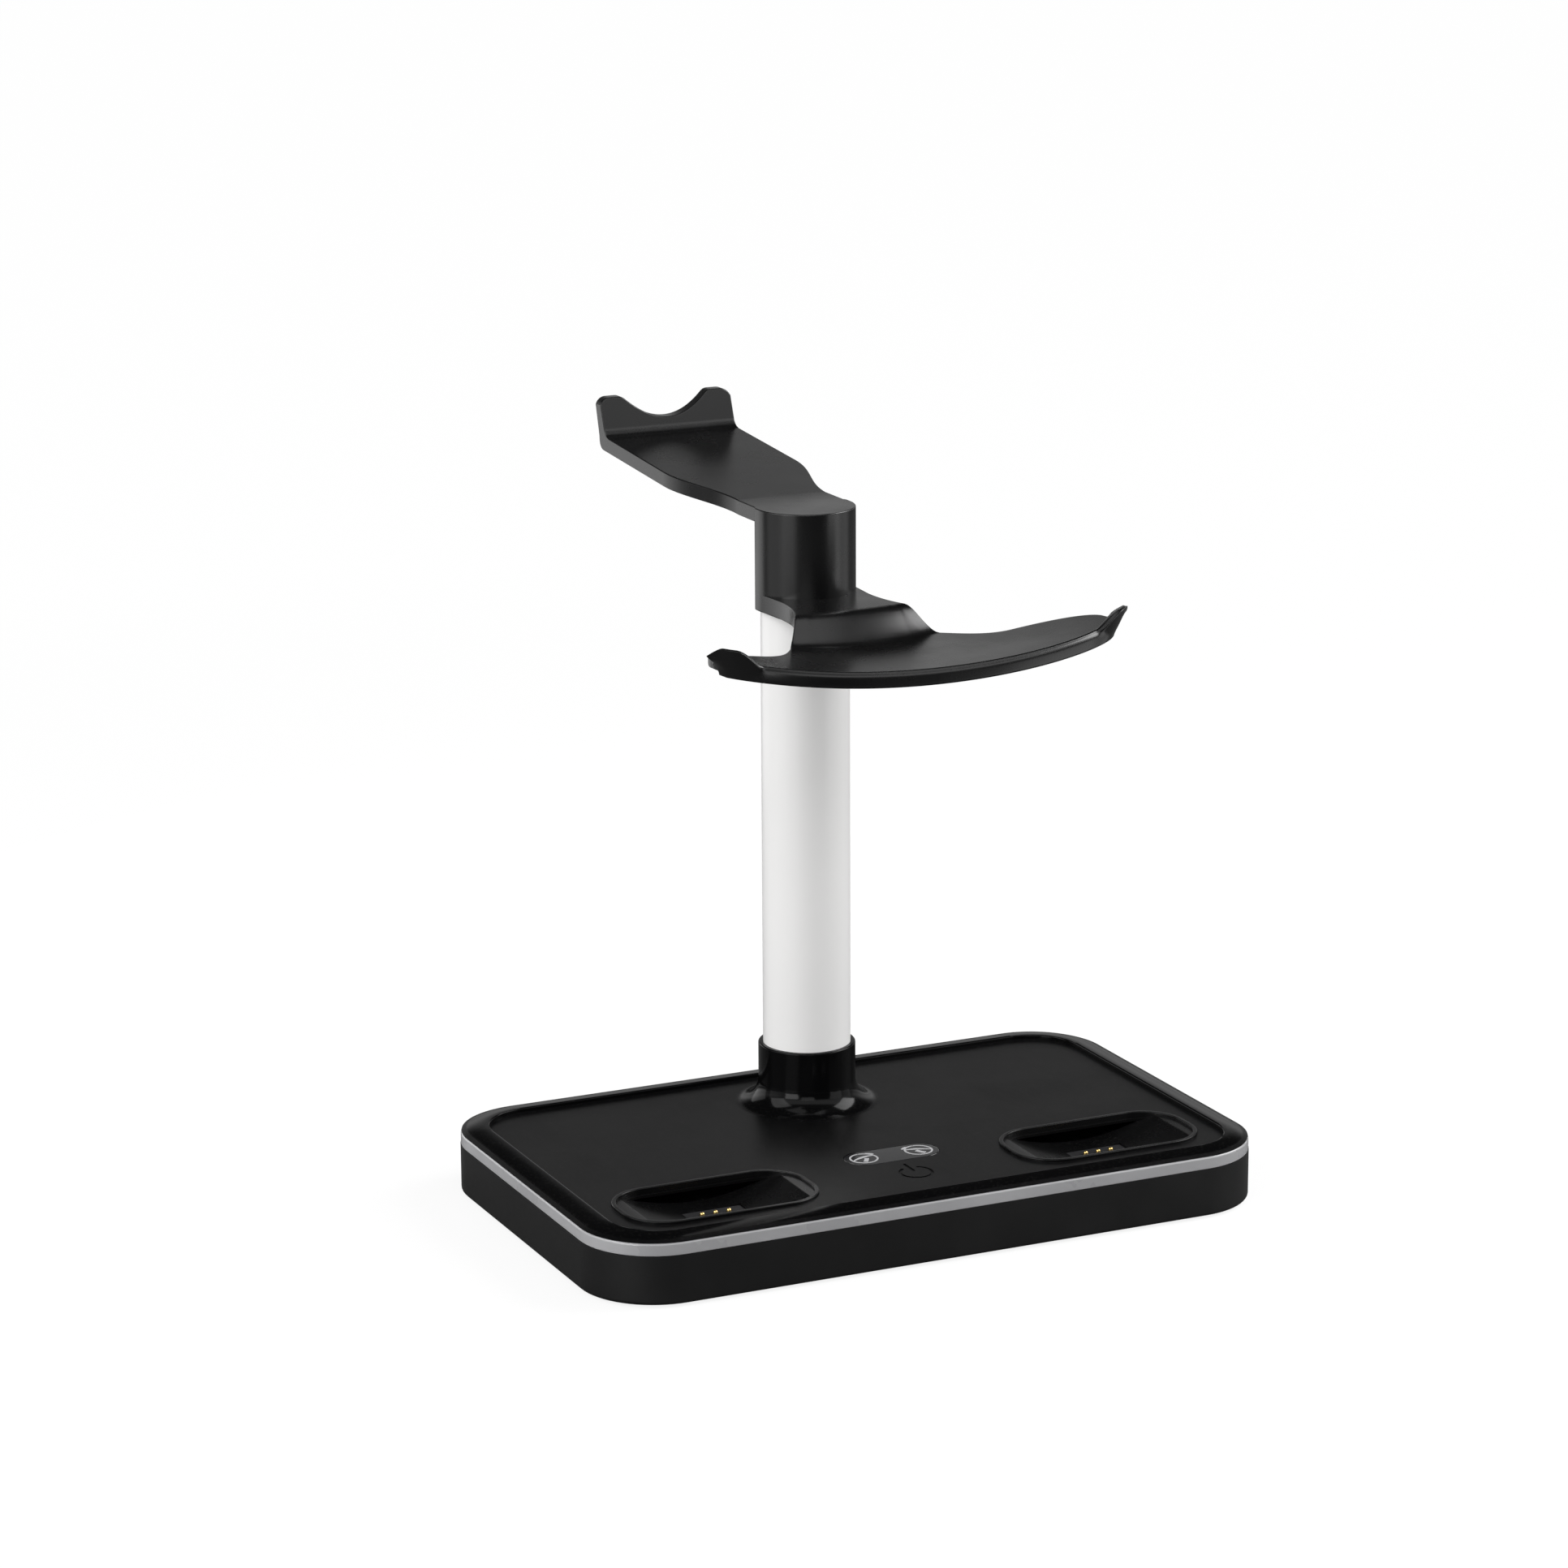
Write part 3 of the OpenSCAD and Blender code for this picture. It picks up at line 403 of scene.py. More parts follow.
    def _wear(self) -> bpy.types.NodeTree:
        """Rubbed places: broken streaks where hands and cables touch, as a mask."""
        group, given, out = self._new("rubbed_places", {"Amount": 0.2, "Scale": 35.0}, ("Mask",))
        links = group.links
        place = group.nodes.new("ShaderNodeTexCoord")
        patches = group.nodes.new("ShaderNodeTexNoise")
        patches.inputs["Detail"].default_value = 6.0
        patches.inputs["Distortion"].default_value = 0.4
        scratch = group.nodes.new("ShaderNodeTexNoise")
        scratch.inputs["Scale"].default_value = 420.0
        scratch.inputs["Detail"].default_value = 2.0
        stretch = group.nodes.new("ShaderNodeMapping")
        stretch.inputs["Scale"].default_value = (1.0, 0.12, 0.3)
        pick = group.nodes.new("ShaderNodeMapRange")
        pick.inputs["From Min"].default_value = 0.45
        pick.inputs["From Max"].default_value = 0.75
        product = [group.nodes.new("ShaderNodeMath") for _ in range(2)]
        for node in product:
            node.operation = "MULTIPLY"
        links.new(place.outputs["Object"], patches.inputs["Vector"])
        links.new(place.outputs["Object"], stretch.inputs["Vector"])
        links.new(stretch.outputs["Vector"], scratch.inputs["Vector"])
        links.new(given.outputs["Scale"], patches.inputs["Scale"])
        links.new(patches.outputs["Fac"], pick.inputs["Value"])
        links.new(pick.outputs["Result"], product[0].inputs[0])
        links.new(scratch.outputs["Fac"], product[0].inputs[1])
        links.new(product[0].outputs[0], product[1].inputs[0])
        links.new(given.outputs["Amount"], product[1].inputs[1])
        links.new(product[1].outputs[0], out.inputs["Mask"])
        return group

    def _brushed(self) -> bpy.types.NodeTree:
        """Tool marks of turned or rolled metal, as a height and a streak mask."""
        group, given, out = self._new("tool_marks", {"Scale": 500.0, "Stretch": 0.04}, ("Height", "Streaks"))
        links = group.links
        place = group.nodes.new("ShaderNodeTexCoord")
        spread = group.nodes.new("ShaderNodeCombineXYZ")
        spread.inputs["X"].default_value = 1.0
        spread.inputs["Z"].default_value = 1.0
        stretch = group.nodes.new("ShaderNodeMapping")
        marks = group.nodes.new("ShaderNodeTexNoise")
        marks.inputs["Detail"].default_value = 5.0
        broad = group.nodes.new("ShaderNodeTexNoise")
        broad.inputs["Scale"].default_value = 40.0
        links.new(given.outputs["Stretch"], spread.inputs["Y"])
        links.new(spread.outputs["Vector"], stretch.inputs["Scale"])
        links.new(place.outputs["Object"], stretch.inputs["Vector"])
        links.new(stretch.outputs["Vector"], marks.inputs["Vector"])
        links.new(given.outputs["Scale"], marks.inputs["Scale"])
        links.new(place.outputs["Object"], broad.inputs["Vector"])
        links.new(marks.outputs["Fac"], out.inputs["Height"])
        links.new(broad.outputs["Fac"], out.inputs["Streaks"])
        return group


# Finishes


class FinishNodes:
    """A material being wired: its tree, its main shader and the shared groups."""

    def __init__(self, name: str, groups: EffectGroups) -> None:
        """Starts a material.

        Args:
            name: Name of the material.
            groups: Shared effects.
        """
        self.material = bpy.data.materials.new(name)
        self.material.use_nodes = True
        self.groups = groups
        self.nodes = self.material.node_tree.nodes
        self.links = self.material.node_tree.links
        self.shader = self.nodes["Principled BSDF"]

    def effect(self, group: bpy.types.NodeTree, **values: float) -> bpy.types.Node:
        """Places a shared effect with its own values."""
        node = self.nodes.new("ShaderNodeGroup")
        node.node_tree = group
        for label, value in values.items():
            node.inputs[label].default_value = value
        return node

    def span(self, source: bpy.types.NodeSocket, low: float, high: float,
             start: float = 0.3, end: float = 0.7) -> bpy.types.NodeSocket:
        """Maps a mask to a range of values.

        Args:
            source: Socket of the mask.
            low: Value at the start.
            high: Value at the end.
            start: Mask value at the start.
            end: Mask value at the end.

        Returns:
            The socket with the mapped value.
        """
        node = self.nodes.new("ShaderNodeMapRange")
        for label, value in (("From Min", start), ("From Max", end), ("To Min", low), ("To Max", high)):
            node.inputs[label].default_value = value
        self.links.new(source, node.inputs["Value"])
        return node.outputs["Result"]

    def blend(self, mask: bpy.types.NodeSocket, first: object, second: object) -> bpy.types.NodeSocket:
        """Mixes two colours or colour sockets by a mask.

        Args:
            mask: Socket of the mask.
            first: Colour or socket where the mask is 0.
            second: Colour or socket where the mask is 1.

        Returns:
            The socket with the mixed colour.
        """
        node = self.nodes.new("ShaderNodeMix")
        node.data_type = "RGBA"
        self.links.new(mask, node.inputs["Factor"])
        for label, value in (("A", first), ("B", second)):
            socket = [s for s in node.inputs if s.name == label and s.type == "RGBA"][0]
            if isinstance(value, bpy.types.NodeSocket):
                self.links.new(value, socket)
            else:
                socket.default_value = (*value, 1.0)
        return [s for s in node.outputs if s.type == "RGBA"][0]

    def maths(self, how: str, first: bpy.types.NodeSocket, second: object) -> bpy.types.NodeSocket:
        """Combines a socket with a number or a second socket."""
        node = self.nodes.new("ShaderNodeMath")
        node.operation = how
        self.links.new(first, node.inputs[0])
        if isinstance(second, bpy.types.NodeSocket):
            self.links.new(second, node.inputs[1])
        else:
            node.inputs[1].default_value = second
        return node.outputs[0]

    def height(self) -> bpy.types.NodeSocket:
        """Gives the height above the ground in metres."""
        place = self.nodes.new("ShaderNodeTexCoord")
        split = self.nodes.new("ShaderNodeSeparateXYZ")
        self.links.new(place.outputs["Object"], split.inputs["Vector"])
        return split.outputs["Z"]

    def relief(self, height: bpy.types.NodeSocket, strength: float, depth: float) -> None:
        """Feeds a height to the shader's normal, with its depth in millimetres."""
        bump = self.nodes.new("ShaderNodeBump")
        bump.inputs["Strength"].default_value = strength
        bump.inputs["Distance"].default_value = depth * MM
        self.links.new(height, bump.inputs["Height"])
        self.links.new(bump.outputs["Normal"], self.shader.inputs["Normal"])

    def wire(self, source: bpy.types.NodeSocket, label: str) -> None:
        """Links a socket to an input of the shader."""
        self.links.new(source, self.shader.inputs[label])

    def settings(self, **values: float) -> None:
        """Sets plain values on the shader, with underscores for spaces."""
        for label, value in values.items():
            self.shader.inputs[label.replace("_", " ")].default_value = value


@dataclass(frozen=True)
class MouldedFinish:
    """Satin or glossy moulded plastic."""

    name: str
    colour: Colour
    tint: Colour
    roughness: float
    grain_depth: float = 0.01
    grain_scale: float = 1600.0
    coat: float = 0.0
    coat_roughness: float = 0.05
    specular: float = 0.3
    dust: float = 0.1
    wear: float = 0.2
    satin_below: float = 0.0
    satin_extra: float = 0.0

    def build(self, groups: EffectGroups) -> bpy.types.Material:
        """Builds the material."""
        wiring = FinishNodes(self.name, groups)
        grain = wiring.effect(groups.grain, Scale=self.grain_scale, Mottle=55.0)
        film = wiring.effect(groups.film, Amount=self.dust, Scale=1100.0)
        rubbed = wiring.effect(groups.wear, Amount=self.wear, Scale=30.0)
        body = wiring.blend(grain.outputs["Mottle"], self.colour, self.tint)
        dusty = wiring.blend(film.outputs["Mask"], body, (0.32, 0.31, 0.3))
        wiring.wire(dusty, "Base Color")
        satin = wiring.span(grain.outputs["Mottle"], self.roughness * 0.92, self.roughness * 1.08)
        worn = wiring.maths("ADD", satin, rubbed.outputs["Mask"])
        if self.satin_below:
            floor = wiring.span(wiring.height(), self.satin_extra, 0.0, self.satin_below * MM,
                                (self.satin_below + 0.3) * MM)
            worn = wiring.maths("ADD", worn, floor)
        wiring.wire(worn, "Roughness")
        wiring.relief(grain.outputs["Height"], 0.5, self.grain_depth)
        wiring.settings(Specular_IOR_Level=self.specular, Coat_Weight=self.coat, Coat_Roughness=self.coat_roughness)
        return wiring.material


@dataclass(frozen=True)
class DiffuserFinish:
    """Milky diffuser that lamps shine into from behind."""

    name: str
    colour: Colour
    glow: Colour

    def build(self, groups: EffectGroups) -> bpy.types.Material:
        """Builds the material."""
        wiring = FinishNodes(self.name, groups)
        grain = wiring.effect(groups.grain, Scale=1200.0, Mottle=38.0)
        film = wiring.effect(groups.film, Amount=0.06, Scale=900.0)
        body = wiring.blend(wiring.span(grain.outputs["Mottle"], 0.0, 1.0), self.colour, self.glow)
        wiring.wire(wiring.blend(film.outputs["Mask"], body, (0.45, 0.44, 0.42)), "Base Color")
        wiring.wire(wiring.span(grain.outputs["Mottle"], 0.24, 0.34), "Roughness")
        wiring.relief(grain.outputs["Height"], 0.3, 0.005)
        wiring.settings(Specular_IOR_Level=0.5, Subsurface_Weight=0.25, Subsurface_Scale=0.002,
                        Coat_Weight=0.35, Coat_Roughness=0.12)
        wiring.shader.inputs["Subsurface Radius"].default_value = (1.0, 1.0, 1.0)
        return wiring.material


@dataclass(frozen=True)
class LacquerFinish:
    """Painted or powder-coated tube with a fine orange-peel surface."""

    name: str
    colour: Colour
    tint: Colour

    def build(self, groups: EffectGroups) -> bpy.types.Material:
        """Builds the material."""
        wiring = FinishNodes(self.name, groups)
        peel = wiring.effect(groups.grain, Scale=420.0, Mottle=24.0)
        film = wiring.effect(groups.film, Amount=0.05, Scale=1300.0)
        body = wiring.blend(peel.outputs["Mottle"], self.colour, self.tint)
        wiring.wire(wiring.blend(film.outputs["Mask"], body, (0.6, 0.58, 0.55)), "Base Color")
        wiring.wire(wiring.span(peel.outputs["Mottle"], 0.3, 0.38), "Roughness")
        wiring.relief(peel.outputs["Height"], 0.25, 0.01)
        wiring.settings(Specular_IOR_Level=0.4, Coat_Weight=0.15, Coat_Roughness=0.1)
        return wiring.material


@dataclass(frozen=True)
class SmokedFinish:
    """Smoked glossy window with a faint haze."""

    name: str
    colour: Colour
    haze: Colour

    def build(self, groups: EffectGroups) -> bpy.types.Material:
        """Builds the material."""
        wiring = FinishNodes(self.name, groups)
        grain = wiring.effect(groups.grain, Scale=2400.0, Mottle=90.0)
        rubbed = wiring.effect(groups.wear, Amount=0.1, Scale=60.0)
        film = wiring.effect(groups.film, Amount=0.05, Scale=1400.0)
        body = wiring.blend(grain.outputs["Mottle"], self.colour, self.haze)
        wiring.wire(wiring.blend(film.outputs["Mask"], body, (0.3, 0.3, 0.3)), "Base Color")
        wiring.wire(wiring.maths("ADD", wiring.span(grain.outputs["Mottle"], 0.07, 0.12), rubbed.outputs["Mask"]),
                    "Roughness")
        wiring.relief(grain.outputs["Height"], 0.08, 0.003)
        wiring.settings(Specular_IOR_Level=0.5, Coat_Weight=0.6, Coat_Roughness=0.04)
        return wiring.material


@dataclass(frozen=True)
class MetalFinish:
    """Bare or plated metal with tool marks."""

    name: str
    colour: Colour
    tarnish: Colour
    roughness: float
    stretch: float = 0.04
    scale: float = 500.0

    def build(self, groups: EffectGroups) -> bpy.types.Material:
        """Builds the material."""
        wiring = FinishNodes(self.name, groups)
        marks = wiring.effect(groups.brushed, Scale=self.scale, Stretch=self.stretch)
        rubbed = wiring.effect(groups.wear, Amount=0.25, Scale=80.0)
        spots = wiring.span(marks.outputs["Streaks"], 0.0, 0.6)
        wiring.wire(wiring.blend(spots, self.colour, self.tarnish), "Base Color")
        wiring.wire(wiring.maths("ADD", wiring.span(marks.outputs["Height"], self.roughness * 0.8,
                                                    self.roughness * 1.25), rubbed.outputs["Mask"]), "Roughness")
        wiring.relief(marks.outputs["Height"], 0.25, 0.01)
        wiring.settings(Metallic=1.0)
        return wiring.material


@dataclass(frozen=True)
class BoardFinish:
    """Circuit board: solder mask with copper tracks below it."""

    name: str
    mask: Colour
    track: Colour
    scale: float = 260.0

    def build(self, groups: EffectGroups) -> bpy.types.Material:
        """Builds the material."""
        wiring = FinishNodes(self.name, groups)
        place = wiring.nodes.new("ShaderNodeTexCoord")
        tracks = wiring.nodes.new("ShaderNodeTexBrick")
        tracks.offset = 0.37
        for label, value in (("Scale", self.scale), ("Mortar Size", 0.12), ("Brick Width", 1.7), ("Row Height", 0.5)):
            tracks.inputs[label].default_value = value
        wiring.links.new(place.outputs["Object"], tracks.inputs["Vector"])
        grain = wiring.effect(groups.grain, Scale=1500.0, Mottle=120.0)
        body = wiring.blend(tracks.outputs["Fac"], self.mask, self.track)
        wiring.wire(wiring.blend(wiring.span(grain.outputs["Mottle"], 0.0, 0.25), body, (0.02, 0.1, 0.06)),
                    "Base Color")
        wiring.wire(wiring.span(grain.outputs["Mottle"], 0.28, 0.42), "Roughness")
        wiring.relief(tracks.outputs["Fac"], 0.3, 0.03)
        wiring.settings(Specular_IOR_Level=0.5, Coat_Weight=0.3, Coat_Roughness=0.2)
        return wiring.material


@dataclass(frozen=True)
class RubberFinish:
    """Matt rubber with moulded ridges."""

    name: str
    colour: Colour
    ridge_scale: float = 420.0

    def build(self, groups: EffectGroups) -> bpy.types.Material:
        """Builds the material."""
        wiring = FinishNodes(self.name, groups)
        place = wiring.nodes.new("ShaderNodeTexCoord")
        ridges = wiring.nodes.new("ShaderNodeTexWave")
        ridges.inputs["Scale"].default_value = self.ridge_scale
        ridges.bands_direction = "DIAGONAL"
        wiring.links.new(place.outputs["Object"], ridges.inputs["Vector"])
        grain = wiring.effect(groups.grain, Scale=900.0, Mottle=45.0)
        film = wiring.effect(groups.film, Amount=0.25, Scale=700.0)
        lighter = tuple(min(1.0, c * 1.9 + 0.004) for c in self.colour)
        body = wiring.blend(grain.outputs["Mottle"], self.colour, lighter)
        wiring.wire(wiring.blend(film.outputs["Mask"], body, (0.3, 0.29, 0.27)), "Base Color")
        wiring.wire(wiring.span(grain.outputs["Mottle"], 0.68, 0.85), "Roughness")
        wiring.relief(wiring.maths("ADD", grain.outputs["Height"], ridges.outputs["Fac"]), 0.6, 0.06)
        wiring.settings(Specular_IOR_Level=0.25)
        return wiring.material


@dataclass(frozen=True)
class LampFinish:
    """Lamp with a yellow phosphor window."""

    name: str
    colour: Colour
    phosphor: Colour

    def build(self, groups: EffectGroups) -> bpy.types.Material:
        """Builds the material."""
        wiring = FinishNodes(self.name, groups)
        grain = wiring.effect(groups.grain, Scale=3000.0, Mottle=320.0)
        wiring.wire(wiring.blend(wiring.span(grain.outputs["Mottle"], 0.0, 1.0, 0.42, 0.58), self.colour,
                                 self.phosphor), "Base Color")
        wiring.wire(wiring.span(grain.outputs["Mottle"], 0.2, 0.5), "Roughness")
        wiring.relief(grain.outputs["Height"], 0.3, 0.01)
        wiring.settings(Specular_IOR_Level=0.5)
        return wiring.material


@dataclass(frozen=True)
class FlexFinish:
    """Polyimide flat lead or film with copper tracks along it."""

    name: str
    film: Colour
    copper: Colour
    scale: float = 300.0

    def build(self, groups: EffectGroups) -> bpy.types.Material:
        """Builds the material."""
        wiring = FinishNodes(self.name, groups)
        place = wiring.nodes.new("ShaderNodeTexCoord")
        tracks = wiring.nodes.new("ShaderNodeTexWave")
        tracks.bands_direction = "Y"
        tracks.inputs["Scale"].default_value = self.scale
        wiring.links.new(place.outputs["Object"], tracks.inputs["Vector"])
        grain = wiring.effect(groups.grain, Scale=1800.0, Mottle=90.0)
        stripes = wiring.span(tracks.outputs["Fac"], 0.0, 1.0, 0.45, 0.55)
        wiring.wire(wiring.blend(stripes, self.film, self.copper), "Base Color")
        wiring.wire(wiring.span(grain.outputs["Mottle"], 0.25, 0.4), "Roughness")
        wiring.relief(stripes, 0.3, 0.02)
        wiring.settings(Specular_IOR_Level=0.5, Coat_Weight=0.3, Coat_Roughness=0.1)
        return wiring.material


class Finishes:
    """All materials of the stand, built once."""

    def __init__(self) -> None:
        """Builds each finish."""
        groups = EffectGroups()
        black = (0.0014, 0.0014, 0.0015)
        soft_black = (0.0026, 0.0026, 0.0028)

        def plastic(name: str, roughness: float, **values: float) -> bpy.types.Material:
            """Builds a black moulded plastic."""
            return MouldedFinish(name, black, soft_black, roughness, **values).build(groups)

        self.shell = plastic("satin_black_shell", 0.4, grain_depth=0.01, specular=0.5, wear=0.1)
        self.cover = plastic("gloss_black_cover", 0.12, grain_depth=0.002, grain_scale=2600.0, specular=0.12,
                             dust=0.04, wear=0.06, satin_below=21.25, satin_extra=0.24)
        self.cradle = plastic("satin_black_cradle", 0.26, grain_depth=0.004, specular=0.25, dust=0.04, wear=0.08)
        self.bracket = plastic("gloss_black_bracket", 0.26, grain_depth=0.002, grain_scale=2600.0, specular=0.5,
                               dust=0.03, wear=0.06)
        self.block = MouldedFinish("matt_black_block", (0.012, 0.012, 0.013), (0.02, 0.02, 0.021), 0.5,
                                   grain_depth=0.02).build(groups)
        self.symbol = MouldedFinish("grey_printed_symbol", (0.36, 0.36, 0.37), (0.44, 0.44, 0.45), 0.4,
                                    grain_depth=0.004, dust=0.02).build(groups)
        self.groove = MouldedFinish("engraved_groove", (0.002, 0.002, 0.002), (0.004, 0.004, 0.004), 0.45,
                                    grain_depth=0.01, dust=0.0).build(groups)
        self.diffuser = DiffuserFinish("milky_diffuser", (0.34, 0.34, 0.35), (0.4, 0.4, 0.41)).build(groups)
        self.window = SmokedFinish("smoked_window", (0.006, 0.006, 0.007), (0.012, 0.012, 0.013)).build(groups)
        self.pole = LacquerFinish("warm_white_lacquer", (0.86, 0.855, 0.85), (0.9, 0.895, 0.888)).build(groups)
        self.rubber = RubberFinish("ridged_rubber", (0.012, 0.012, 0.012)).build(groups)
        self.zinc = MetalFinish("zinc_plated_screws", (0.52, 0.53, 0.55), (0.36, 0.36, 0.38), 0.28,
                                1.0, 900.0).build(groups)
        self.black_zinc = MetalFinish("black_zinc_screws", (0.05, 0.05, 0.055), (0.11, 0.11, 0.115), 0.35,
                                      1.0, 900.0).build(groups)
        self.rolled = MetalFinish("rolled_steel_plate", (0.42, 0.43, 0.45), (0.24, 0.23, 0.22), 0.34).build(groups)
        self.turned = MetalFinish("turned_alloy_foot", (0.62, 0.63, 0.65), (0.5, 0.5, 0.52), 0.25,
                                  1.0, 260.0).build(groups)
        self.brass = MetalFinish("turned_brass", (0.66, 0.47, 0.2), (0.48, 0.31, 0.12), 0.26, 1.0, 400.0).build(groups)
        self.gold = MetalFinish("gold_plated_pins", (0.85, 0.62, 0.24), (0.7, 0.47, 0.15), 0.18,
                                1.0, 1500.0).build(groups)
        self.copper = MetalFinish("copper_electrode", (0.78, 0.42, 0.26), (0.5, 0.23, 0.13), 0.3, 1.0).build(groups)
        self.stamped = MetalFinish("stamped_steel_socket", (0.55, 0.56, 0.58), (0.4, 0.4, 0.42), 0.24,
                                   0.2, 700.0).build(groups)
        self.board = BoardFinish("green_solder_mask", (0.012, 0.09, 0.045), (0.06, 0.2, 0.09)).build(groups)
        self.lamp = LampFinish("phosphor_lamps", (0.82, 0.82, 0.8), (0.85, 0.66, 0.16)).build(groups)
        self.flex = FlexFinish("amber_flat_lead", (0.42, 0.2, 0.04), (0.6, 0.3, 0.09)).build(groups)
        self.strip = FlexFinish("white_lamp_strip", (0.75, 0.74, 0.7), (0.6, 0.45, 0.3), 180.0).build(groups)


def dress(piece: bpy.types.Object, material: bpy.types.Material) -> None:
    """Gives a piece one material."""
    piece.data.materials.clear()
    piece.data.materials.append(material)


def dress_node(node: str, material: bpy.types.Material) -> None:
    """Gives a CAD node a better material in the slots it has."""
    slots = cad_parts[node].material_slots
    for slot in slots:
        slot.material = material


def settle(piece: bpy.types.Object, body: Body, nodes: Sequence[str] = ()) -> None:
    """Parents a finished piece to the body it rides on and hides the CAD nodes that it replaces.

    Args:
        piece: Finished piece.
        body: Body that it moves with.
        nodes: CAD nodes that it replaces.
    """
    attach(piece, body.value)
    if nodes:
        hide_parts(*nodes)
    LOG.info("%s: %d faces, rides on %s", piece.name, len(piece.data.polygons), body.value)


# Sub-assemblies


@dataclass
class Base:
    """Lower shell, mat, light band and cover."""

    finishes: Finishes
    rim_edge: float = 0.45
    floor_level: float = 21.2
    symbol_centre: Point2 = (-0.6, -46.3)
    symbol_radius: float = 5.1
    symbol_stroke: float = 0.95
    symbol_depth: float = 0.3
    symbol_gap: float = 31.0
    symbol_bar: Point2 = (-37.5, -45.0)

    def build(self) -> None:
        """Builds and dresses the base."""
        self._shell()
        self._band()
        self._cover()
        self._inside()

    def _shell(self) -> None:
        """Makes the lower shell with smooth shading."""
        shell = copy_of_node("base_shell", "shell_moulding")
        smooth(shell)
        dress(shell, self.finishes.shell)
        settle(shell, Body.STAND, ("base_shell",))
        dress_node("rubber_mat", self.finishes.rubber)
        dress_node("base_screws", self.finishes.black_zinc)

    def _band(self) -> None:
        """Makes the diffuser band."""
        band = copy_of_node("light_ring", "diffuser_band")
        smooth(band, 40)
        dress(band, self.finishes.diffuser)
        settle(band, Body.STAND, ("light_ring",))

    def _cover(self) -> None:
        """Makes the cover with its rim, sunken floor and collar."""
        cover = copy_of_node("top_cover", "cover_moulding")
        round_loops(cover, self.rim_edge, lambda p: 22.4 < p.z < 22.6)
        for groove in self._power_symbol():
            cut_or_join(cover, groove, "DIFFERENCE")
        smooth(cover, 35)
        dress(cover, self.finishes.cover)
        settle(cover, Body.STAND, ("top_cover",))

    def _power_symbol(self) -> list[bpy.types.Object]:
        """Makes the solids that engrave the power symbol: an open ring and a bar."""
        x, y = self.symbol_centre
        low, high = self.floor_level - self.symbol_depth, self.floor_level + 0.5
        half = self.symbol_stroke / 2
        gap = self.symbol_gap
        outline = ring_outline((x, y), self.symbol_radius, half, 90 + gap, 450 - gap)
        ring = prism("symbol_ring", outline, low, high)
        top, end = self.symbol_bar
        outline = (arc((x, end + half), half, 180, 360, 8) + arc((x, top - half), half, 0, 180, 8))
        bar = prism("symbol_bar", outline, low, high)
        return [ring, bar]

    def _inside(self) -> None:
        """Dresses what the base holds."""
        f = self.finishes
        wanted = {
            "weight_plate": f.rolled, "plate_screws": f.zinc, "pole_foot": f.turned, "light_strip": f.strip,
            "strip_leds": f.lamp, "status_leds": f.lamp, "touch_pad": f.copper, "main_board": f.board,
            "board_screws": f.zinc, "inlet_board": f.board, "power_inlet": f.stamped, "power_flex": f.flex,
        }
        for node, material in wanted.items():
            dress_node(node, material)


@dataclass
class Dock:
    """One cradle with its contact block, pins, board and lead."""

    finishes: Finishes
    side: Side
    edge: float = 0.25

    def build(self) -> None:
        """Builds and dresses one dock."""
        word = self.side.name.lower()
        cradle = copy_of_node(f"{word}_cradle", f"{word}_dish_moulding")
        round_loops(cradle, self.edge, lambda p: p.z > 21.95)
        smooth(cradle, 35)
        dress(cradle, self.finishes.cradle)
        settle(cradle, Body.STAND, (f"{word}_cradle",))
        block = copy_of_node(f"{word}_contact_block", f"{word}_contact_carrier")
        smooth(block, 35)
        dress(block, self.finishes.block)
        settle(block, Body.STAND, (f"{word}_contact_block",))
        pins = copy_of_node(f"{word}_contact_pins", f"{word}_sprung_pins")
        smooth(pins, 40)
        dress(pins, self.finishes.gold)
        body = Body.LEFT_PINS if self.side is Side.LEFT else Body.RIGHT_PINS
        settle(pins, body, (f"{word}_contact_pins",))
        dress_node(f"{word}_contact_board", self.finishes.board)
        dress_node(f"{word}_flex", self.finishes.flex)


@dataclass
class Pole:
    """White tube with its clamping parts."""

    finishes: Finishes

    def build(self) -> None:
        """Builds and dresses the pole."""
        tube = copy_of_node("pole", "pole_tube")
        smooth(tube, 40)
        dress(tube, self.finishes.pole)
        settle(tube, Body.STAND, ("pole",))
        for node in ("tie_rod", "rod_washer", "rod_nut"):
            dress_node(node, self.finishes.zinc)
        dress_node("head_insert", self.finishes.brass)


